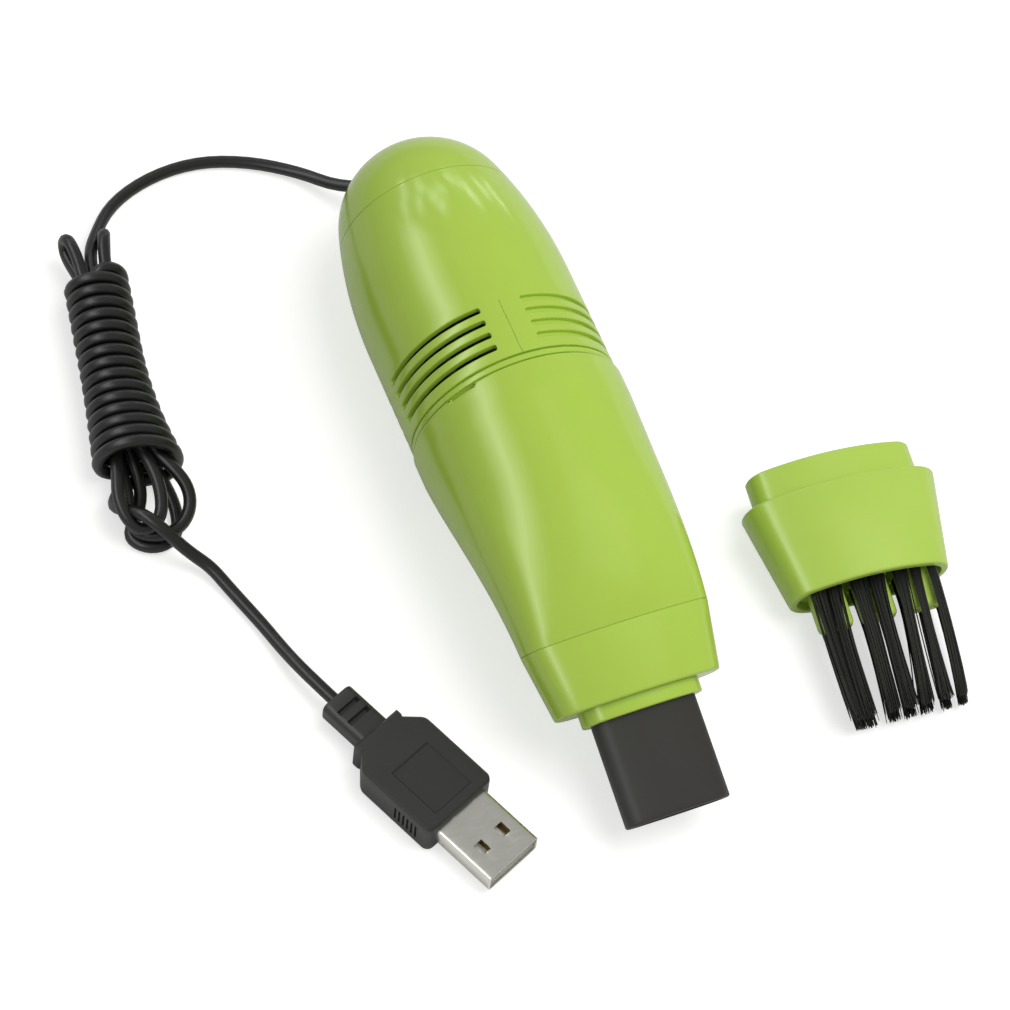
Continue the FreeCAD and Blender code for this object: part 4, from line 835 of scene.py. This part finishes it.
def finger_block():
    """Three fingers with rounded edges, and the three blocks at their roots."""
    bm = bmesh.new()
    for k in (-1, 0, 1):
        made = block(bm, FINGER_SIZE, k * FINGER_PITCH, FINGER_END + FINGER_SIZE[1] / 2)
        edges = []
        for edge in bm.edges:
            a, b = (v.co for v in edge.verts)
            if edge.verts[0] in made and (abs(a.y - b.y) > 1 or max(a.y, b.y) < FINGER_END + 0.1):
                edges.append(edge)
        soften(bm, edges, FINGER_ROUND, 4)
    for left, right in BLOCKS:
        block(bm, (right - left, BLOCK_LENGTH, BLOCK_HEIGHT), (left + right) / 2, BLOCK_MIDDLE)
    return bm


make_piece("brush_collar_shell", brush_collar(), on_floor, pale_green_abs, "brush_head",
           ["brush_collar"])
make_piece("finger_comb", finger_block(), on_floor, pale_green_abs, "brush_head", ["bristle_block"])

# %% [markdown]
# Bristles are drawn nylon threads of 0.25 mm in bundles. In use the bundles gather into clumps and their ends fan
# apart, so each bundle has a root, a waist and a tip place of its own, and the lower row lies behind the upper one.
# Hair curves would not survive an export, so each bristle is a thin mesh thread of six lengths.

# %% Bristles
ROOT_Y, WAIST_Y, TIP_Y = -17.3, -30.0, -44.0
# for each bundle: place across and spread at the root, the waist and the tip
CLUMPS = [((-10.2, 1.5), (-10.6, 1.0), (-10.7, 0.95)), ((-7.2, 1.5), (-8.2, 0.95), (-8.6, 1.1)),
          ((-2.5, 1.6), (-2.9, 1.05), (-3.9, 1.15)), ((1.0, 1.6), (0.1, 0.85), (-0.9, 1.15)),
          ((5.6, 1.4), (4.2, 0.8), (2.2, 1.35)), ((8.6, 1.0), (7.4, 0.6), (6.2, 1.0)),
          ((11.6, 0.8), (10.9, 0.65), (9.2, 0.8))]
UPPER_Z, LOWER_Z, LOWER_SHIFT = 3.0, -2.6, 1.1
THREADS, THREAD, LENGTHS, FLATNESS, GOLDEN_ANGLE = 60, 0.25, 6, 0.8, 2.39996
# how many threads stray and how far, how many are cut short and by how much, and how unruly they all are
STRAYS, STRAY_FAN, CUT_SHORT, LONGEST_CUT, MOST_SHORT = 0.10, 1.7, 0.15, 2.5, 4.0
END_RAGGED, SHAKE_ACROSS, SHAKE_UP = 0.45, 0.12, 0.05
source = random.Random(41)


def grow_bristle(bm, centres):
    """One four-sided thread through its centres, with a fine end."""
    ring = new_circle(bm, 4, THREAD / 2)
    for vert in ring:
        vert.co = Vector((vert.co.x, 0.0, vert.co.y)) + centres[0]
    for before, here in zip(centres, centres[1:]):
        ring = next_ring(bm, ring)
        for vert in ring:
            vert.co = vert.co + here - before
    for vert in ring:
        vert.co = centres[-1] + (vert.co - centres[-1]) * 0.5
    bm.faces.new(ring)


def grow_clump(places, shift, level):
    """A bundle of threads that follows its root, waist and tip places, with a few strays."""
    bm = bmesh.new()
    for k in range(THREADS):
        outwards, angle = math.sqrt((k + 0.5) / THREADS), k * GOLDEN_ANGLE
        stray = source.random() < STRAYS
        short = abs(source.gauss(0, END_RAGGED))
        short += source.uniform(0, LONGEST_CUT) if source.random() < CUT_SHORT else 0
        stations = []
        for y, (x, spread) in zip((ROOT_Y, WAIST_Y, TIP_Y + min(short, MOST_SHORT)), places):
            fan = outwards * spread * (STRAY_FAN if stray and y < ROOT_Y else 1.0)
            shake = source.gauss(0, 0.0 if y == ROOT_Y else SHAKE_ACROSS)
            stations.append(Vector((x + shift + fan * math.cos(angle) + shake, y,
                                    level + FLATNESS * fan * math.sin(angle) + source.gauss(0, SHAKE_UP))))
        root, waist, tip = stations
        side = 2 * waist - (root + tip) / 2
        shares = [step / LENGTHS for step in range(LENGTHS + 1)]
        grow_bristle(bm, [root * (1 - t) ** 2 + side * 2 * t * (1 - t) + tip * t ** 2 for t in shares])
    return bm


all_bristles = bmesh.new()
for places in CLUMPS:
    for shift, level in ((0.0, UPPER_Z), (LOWER_SHIFT, LOWER_Z)):
        add_drawing(all_bristles, grow_clump(places, shift, level))
bmesh.ops.recalc_face_normals(all_bristles, faces=all_bristles.faces)
make_piece("bristles", all_bristles, on_floor, bristle_nylon, "brush_head", ["bristle_tufts"])

# %% [markdown]
# The plug is a soft moulding over a metal shell. Its strain relief is a rounded bar with two slits above and below, so
# that it can bend. The slits are faces pushed in between cutting planes, because that keeps the sides whole.

# %% Plug strain relief
X_AXIS, Y_AXIS, Z_AXIS = Vector((1, 0, 0)), Vector((0, 1, 0)), Vector((0, 0, 1))


def rounded_bar(x, half_width, half_height, radius, inset=0.0, per_corner=6):
    """One ring of a bar along X with round corners."""
    points = []
    for sign_y, sign_z, start in ((1, 1, 0), (-1, 1, 90), (-1, -1, 180), (1, -1, 270)):
        for k in range(per_corner + 1):
            angle = math.radians(start + 90 * k / per_corner)
            corner = max(radius - inset, 0.15)
            y = sign_y * (half_width - inset - corner) + corner * math.cos(angle)
            z = sign_z * (half_height - inset - corner) + corner * math.sin(angle)
            points.append(Vector((x, y, z)))
    return points


def cut_across(bm, axis, places):
    """Add the edges in which planes square to an axis cross the drawing."""
    for place in places:
        bmesh.ops.bisect_plane(bm, geom=bm.verts[:] + bm.edges[:] + bm.faces[:], dist=0.0001, plane_co=axis * place,
                               plane_no=axis)


def sink_both_sides(bm, axis, test, depth, softness):
    """Push in the faces that pass a test, on the two sides that look along an axis."""
    for side in (-1, 1):
        push_in(bm, faces_where(bm, test, side * axis), depth, softness)


RELIEF = (3.5, 2.5, 1.5)
SLITS, SLIT_REACH, SLIT_DEPTH, SLIT_SOFTNESS = ((2.6, 3.7), (5.2, 6.3)), 2.4, 0.9, 0.08


def strain_relief():
    """The bar with its slits: the faces between two stations are sunk from above and from below."""
    bm = bmesh.new()
    stations = [(0.0, 0.35), (0.12, 0.12), (0.35, 0.0)] + [(x, 0.0) for slit in SLITS for x in slit] + [(9.8, 0.0)]
    for ring in ringed_part(bm, [rounded_bar(x, *RELIEF, inset) for x, inset in stations]):
        bm.faces.new(ring)
    bmesh.ops.recalc_face_normals(bm, faces=bm.faces)
    cut_across(bm, Y_AXIS, (-SLIT_REACH, SLIT_REACH))
    for start, end in SLITS:
        sink_both_sides(bm, Z_AXIS, lambda m: start < m.x < end and abs(m.y) < SLIT_REACH, SLIT_DEPTH, SLIT_SOFTNESS)
    return bm


relief = make_piece("plug_relief", strain_relief(), at_plug, plug_pvc, "housing", ["plug_strain_relief"])

# %% [markdown]
# The grip is an outline drawn flat, pushed up to its height and given rounded corners and a broad edge. Cutting planes
# then lay out the panel and the ribs on it, and their faces are pushed in.

# %% Plug grip
GRIP_START, GRIP_END, GRIP_HALF, GRIP_HEIGHT = 9.8, 31.2, 8.0, 8.0
NUB_END, NUB_HALF, NECK_START, NECK_HALF, SHOULDER_X = 11.0, 5.3, 11.5, 5.1, 14.4
FRONT_ROUND, SHOULDER_ROUND, RIM_ROUND, RIM_PROFILE = 1.5, 0.8, 1.0, 0.62
PANEL, PANEL_HALF, PANEL_DEPTH, PANEL_SOFTNESS = (18.2, 29.2), 4.5, 0.3, 0.25
GROOVES, GROOVE_FRONT, GROOVE_PITCH, GROOVE_WIDTH, GROOVE_HALF = 6, 28.2, 1.0, 0.45, 2.0
GROOVE_DEPTH, GROOVE_SIDE = 0.35, 0.06


def upright_edges(bm, x):
    """The edges that stand upright near a station."""
    return [e for e in bm.edges if abs(e.verts[0].co.z - e.verts[1].co.z) > 1 and abs(e.verts[0].co.x - x) < 1]


def plug_grip():
    """The raised outline with its rounded edges, its sunk panels and the grooves in its sides."""
    bm = bmesh.new()
    side = [(GRIP_START, NUB_HALF), (NUB_END, NUB_HALF), (NECK_START, NECK_HALF), (SHOULDER_X, GRIP_HALF),
            (GRIP_END, GRIP_HALF)]
    outline = [(x, -y) for x, y in side] + side[::-1]
    base = bm.faces.new([bm.verts.new((x, y, -GRIP_HEIGHT / 2)) for x, y in outline])
    raised = bmesh.ops.extrude_face_region(bm, geom=[base], use_keep_orig=True)["geom"]
    bmesh.ops.translate(bm, vec=(0, 0, GRIP_HEIGHT), verts=[g for g in raised if isinstance(g, bmesh.types.BMVert)])
    bmesh.ops.recalc_face_normals(bm, faces=bm.faces)
    soften(bm, upright_edges(bm, GRIP_END), FRONT_ROUND, 5)
    soften(bm, upright_edges(bm, SHOULDER_X), SHOULDER_ROUND, 3)
    rims = sharp_edges(bm, lambda a, b: abs(a.z - b.z) < 0.01 and abs(a.z) > GRIP_HEIGHT / 2 - 0.1)
    soften(bm, rims, RIM_ROUND, 3, RIM_PROFILE)
    cut_across(bm, X_AXIS, PANEL)
    cut_across(bm, Y_AXIS, (-PANEL_HALF, PANEL_HALF))
    sink_both_sides(bm, Z_AXIS, lambda m: PANEL[0] < m.x < PANEL[1] and abs(m.y) < PANEL_HALF, PANEL_DEPTH,
                    PANEL_SOFTNESS)
    ends = [GROOVE_FRONT - k * GROOVE_PITCH for k in range(GROOVES)]
    for end in ends:
        cut_across(bm, X_AXIS, (end - GROOVE_WIDTH, end))
    cut_across(bm, Z_AXIS, (-GROOVE_HALF, GROOVE_HALF))
    for end in ends:
        sink_both_sides(bm, Y_AXIS, lambda m: end - GROOVE_WIDTH < m.x < end and abs(m.y) > GRIP_HALF - 0.5
                        and abs(m.z) < GROOVE_HALF, GROOVE_DEPTH, GROOVE_SIDE)
    return bm


grip = make_piece("plug_grip", plug_grip(), at_plug, plug_pvc, "housing", ["plug_overmould"])

# %% [markdown]
# The metal shell is folded from nickel-plated sheet 0.3 mm thick, with two square windows on each face, through which
# the springs of a socket hold it. Rings along it lie on the window edges, so the windows are faces left out.

# %% Plug shell
SHELL_HALF_WIDTH, SHELL_HALF_HEIGHT, SHEET, SHEET_EDGE = 6.0, 2.25, 0.3, 0.05
WINDOW_START, WINDOW_END, WINDOW_SIDES = 37.6, 40.0, (1.5, 3.5)


def shell_ring(x):
    """One ring of the folded shell, with points on the window sides."""
    near, far = WINDOW_SIDES
    side = [(SHELL_HALF_WIDTH, -1.55), (SHELL_HALF_WIDTH, 1.55), (5.83, 2.05)]
    side += [(y, SHELL_HALF_HEIGHT) for y in (5.3, far, (near + far) / 2, near, 0)]
    other = [(-y, z) for y, z in side[::-1][1:]]
    lower = [(y, -z) for y, z in side[3:-1]]
    below = [(-y, z) for y, z in lower]
    ring = side + other + [(-5.83, -2.05)] + below + [(0, -SHELL_HALF_HEIGHT)] + lower[::-1] + [(5.83, -2.05)]
    return [Vector((x, y, z)) for y, z in ring]


def plug_shell():
    """The folded sheet without its windows, thickened inwards, with its edges broken."""
    bm = bmesh.new()
    ringed_part(bm, [shell_ring(x) for x in (26.2, 30.0, WINDOW_START, 38.8, WINDOW_END, 43.9, 44.2)])
    cut_out(bm, faces_where(bm, lambda m: WINDOW_START < m.x < WINDOW_END and abs(m.z) > 2.2
                            and WINDOW_SIDES[0] < abs(m.y) < WINDOW_SIDES[1]))
    give_wall(bm, SHEET, max(bm.faces, key=lambda f: f.calc_center_median().z))
    soften(bm, sharp_edges(bm), SHEET_EDGE, 2)
    return bm


metal_shell = make_piece("plug_metal_shell", plug_shell(), at_plug, plated_steel, "housing", ["plug_shell"])
cord_curve.materials.append(cord_pvc)
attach(cord, "housing")
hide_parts("cord_coil", "cord_lead_housing", "cord_lead_plug")

# %% [markdown]
# The object lies on a plain pale table. The table keeps the soft shadow, and the camera sees it a little brighter than
# it is lit, so that it runs out to white without more light on the object.

# %% Table and surroundings
TABLE_HALF = 3.0
TABLE_TO_CAMERA, TABLE_IN_GLOSS = 0.62, 0.15
STUDIO_WHITE, STUDIO_LIGHT = 1.0, 0.42


def lift_by_ray(tree, seen_directly, seen_in_gloss, otherwise):
    """A strength that differs for rays from the camera, for rays from gloss or through glass, and for all others."""
    path = add_node(tree, "ShaderNodeLightPath")
    either = add_node(tree, "ShaderNodeMath", links={0: path.outputs["Is Glossy Ray"],
                                                     1: path.outputs["Is Transmission Ray"]}, operation="MAXIMUM")
    reflected = add_node(tree, "ShaderNodeMapRange", {"To Min": otherwise, "To Max": seen_in_gloss},
                         {"Value": either.outputs[0]})
    return add_node(tree, "ShaderNodeMapRange", {"To Max": seen_directly},
                    {"Value": path.outputs["Is Camera Ray"], "To Min": reflected.outputs[0]}).outputs[0]


table_finish, table_tree = new_material("painted_board_pale")
table_diffuse = add_node(table_tree, "ShaderNodeBsdfDiffuse", {"Color": linear("#CFCFCD")})
table_glow = add_node(table_tree, "ShaderNodeEmission",
                      links={"Strength": lift_by_ray(table_tree, TABLE_TO_CAMERA, TABLE_IN_GLOSS, 0.0)})
table_sum = add_node(table_tree, "ShaderNodeAddShader", links={0: table_diffuse.outputs[0], 1: table_glow.outputs[0]})
surface(table_tree, table_sum.outputs[0])
table_bm = bmesh.new()
bmesh.ops.create_grid(table_bm, x_segments=1, y_segments=1, size=TABLE_HALF)
table_mesh = bpy.data.meshes.new("table")
table_bm.to_mesh(table_mesh)
table_bm.free()
table_mesh.materials.append(table_finish)
table = new_object("table", table_mesh)

world = bpy.data.worlds.new("studio")
bpy.context.scene.world = world
world.use_nodes = True
world.node_tree.nodes.clear()
sky = add_node(world.node_tree, "ShaderNodeBackground", {"Color": linear("#FFFFFF")},
               {"Strength": lift_by_ray(world.node_tree, STUDIO_WHITE, STUDIO_LIGHT, STUDIO_LIGHT)})
add_node(world.node_tree, "ShaderNodeOutputWorld", links={"Surface": sky.outputs[0]})
print("table and world ready")

# %% [markdown]
# A broad soft light from above does most of the work, and is kept out of the reflections. On the left, three strips of
# growing width shine over each other, so that the bright band along the cup fades at its sides. Thirteen small panes
# behind the housing give the glints of two windows on its nose. Strips and panes show in reflections only.

# %% Lights
KEY_SIDE, KEY_POWER, KEY_DISTANCE = 0.8, 9.6, 1.2
STRIP_LENGTH, STRIP_DISTANCE, STRIP_DIRECTION = 1.2, 0.76, (-0.50, 0.10, 0.58)
STRIPS = (("left_strip_core", 0.10, 1.4), ("left_strip_glow", 0.26, 2.1), ("left_strip_rim", 0.44, 1.6))
PANE_SIDE_X, PANE_SIDE_Y, PANE_POWER, PANE_DISTANCE = 0.090, 0.009, 0.05, 0.8
# the panes of the two windows, as directions from the middle of the object
LEFT_WINDOW = [(-0.248, 0.831, 0.498), (-0.360, 0.778, 0.515), (-0.050, 0.819, 0.572), (-0.176, 0.763, 0.622),
               (0.045, 0.776, 0.629), (0.196, 0.775, 0.600), (0.093, 0.730, 0.677)]
RIGHT_WINDOW = [(0.382, 0.787, 0.484), (0.497, 0.754, 0.429), (0.540, 0.704, 0.461), (0.646, 0.716, 0.266),
                (0.724, 0.690, -0.016), (0.727, 0.673, 0.134)]


def soft_light(name, direction, distance, side_x, side_y, power):
    """An area light that looks at the middle of the object."""
    data = bpy.data.lights.new(name, "AREA")
    data.shape = "RECTANGLE"
    data.size, data.size_y, data.energy = side_x, side_y, power
    lamp = new_object(name, data)
    towards = Vector(direction).normalized()
    lamp.matrix_world = Matrix.Translation(towards * distance) @ towards.to_track_quat("Z", "Y").to_matrix().to_4x4()
    return lamp


key = soft_light("key", (0.35, -0.15, 0.92), KEY_DISTANCE, KEY_SIDE, KEY_SIDE, KEY_POWER)
key.visible_glossy = False
for name, width, power in STRIPS:
    strip = soft_light(name, STRIP_DIRECTION, STRIP_DISTANCE, STRIP_LENGTH, width, power)
    strip.visible_diffuse = False
for name, panes in (("left", LEFT_WINDOW), ("right", RIGHT_WINDOW)):
    for number, direction in enumerate(panes):
        pane = soft_light(f"{name}_pane_{number}", direction, PANE_DISTANCE, PANE_SIDE_X, PANE_SIDE_Y, PANE_POWER)
        pane.visible_diffuse = False
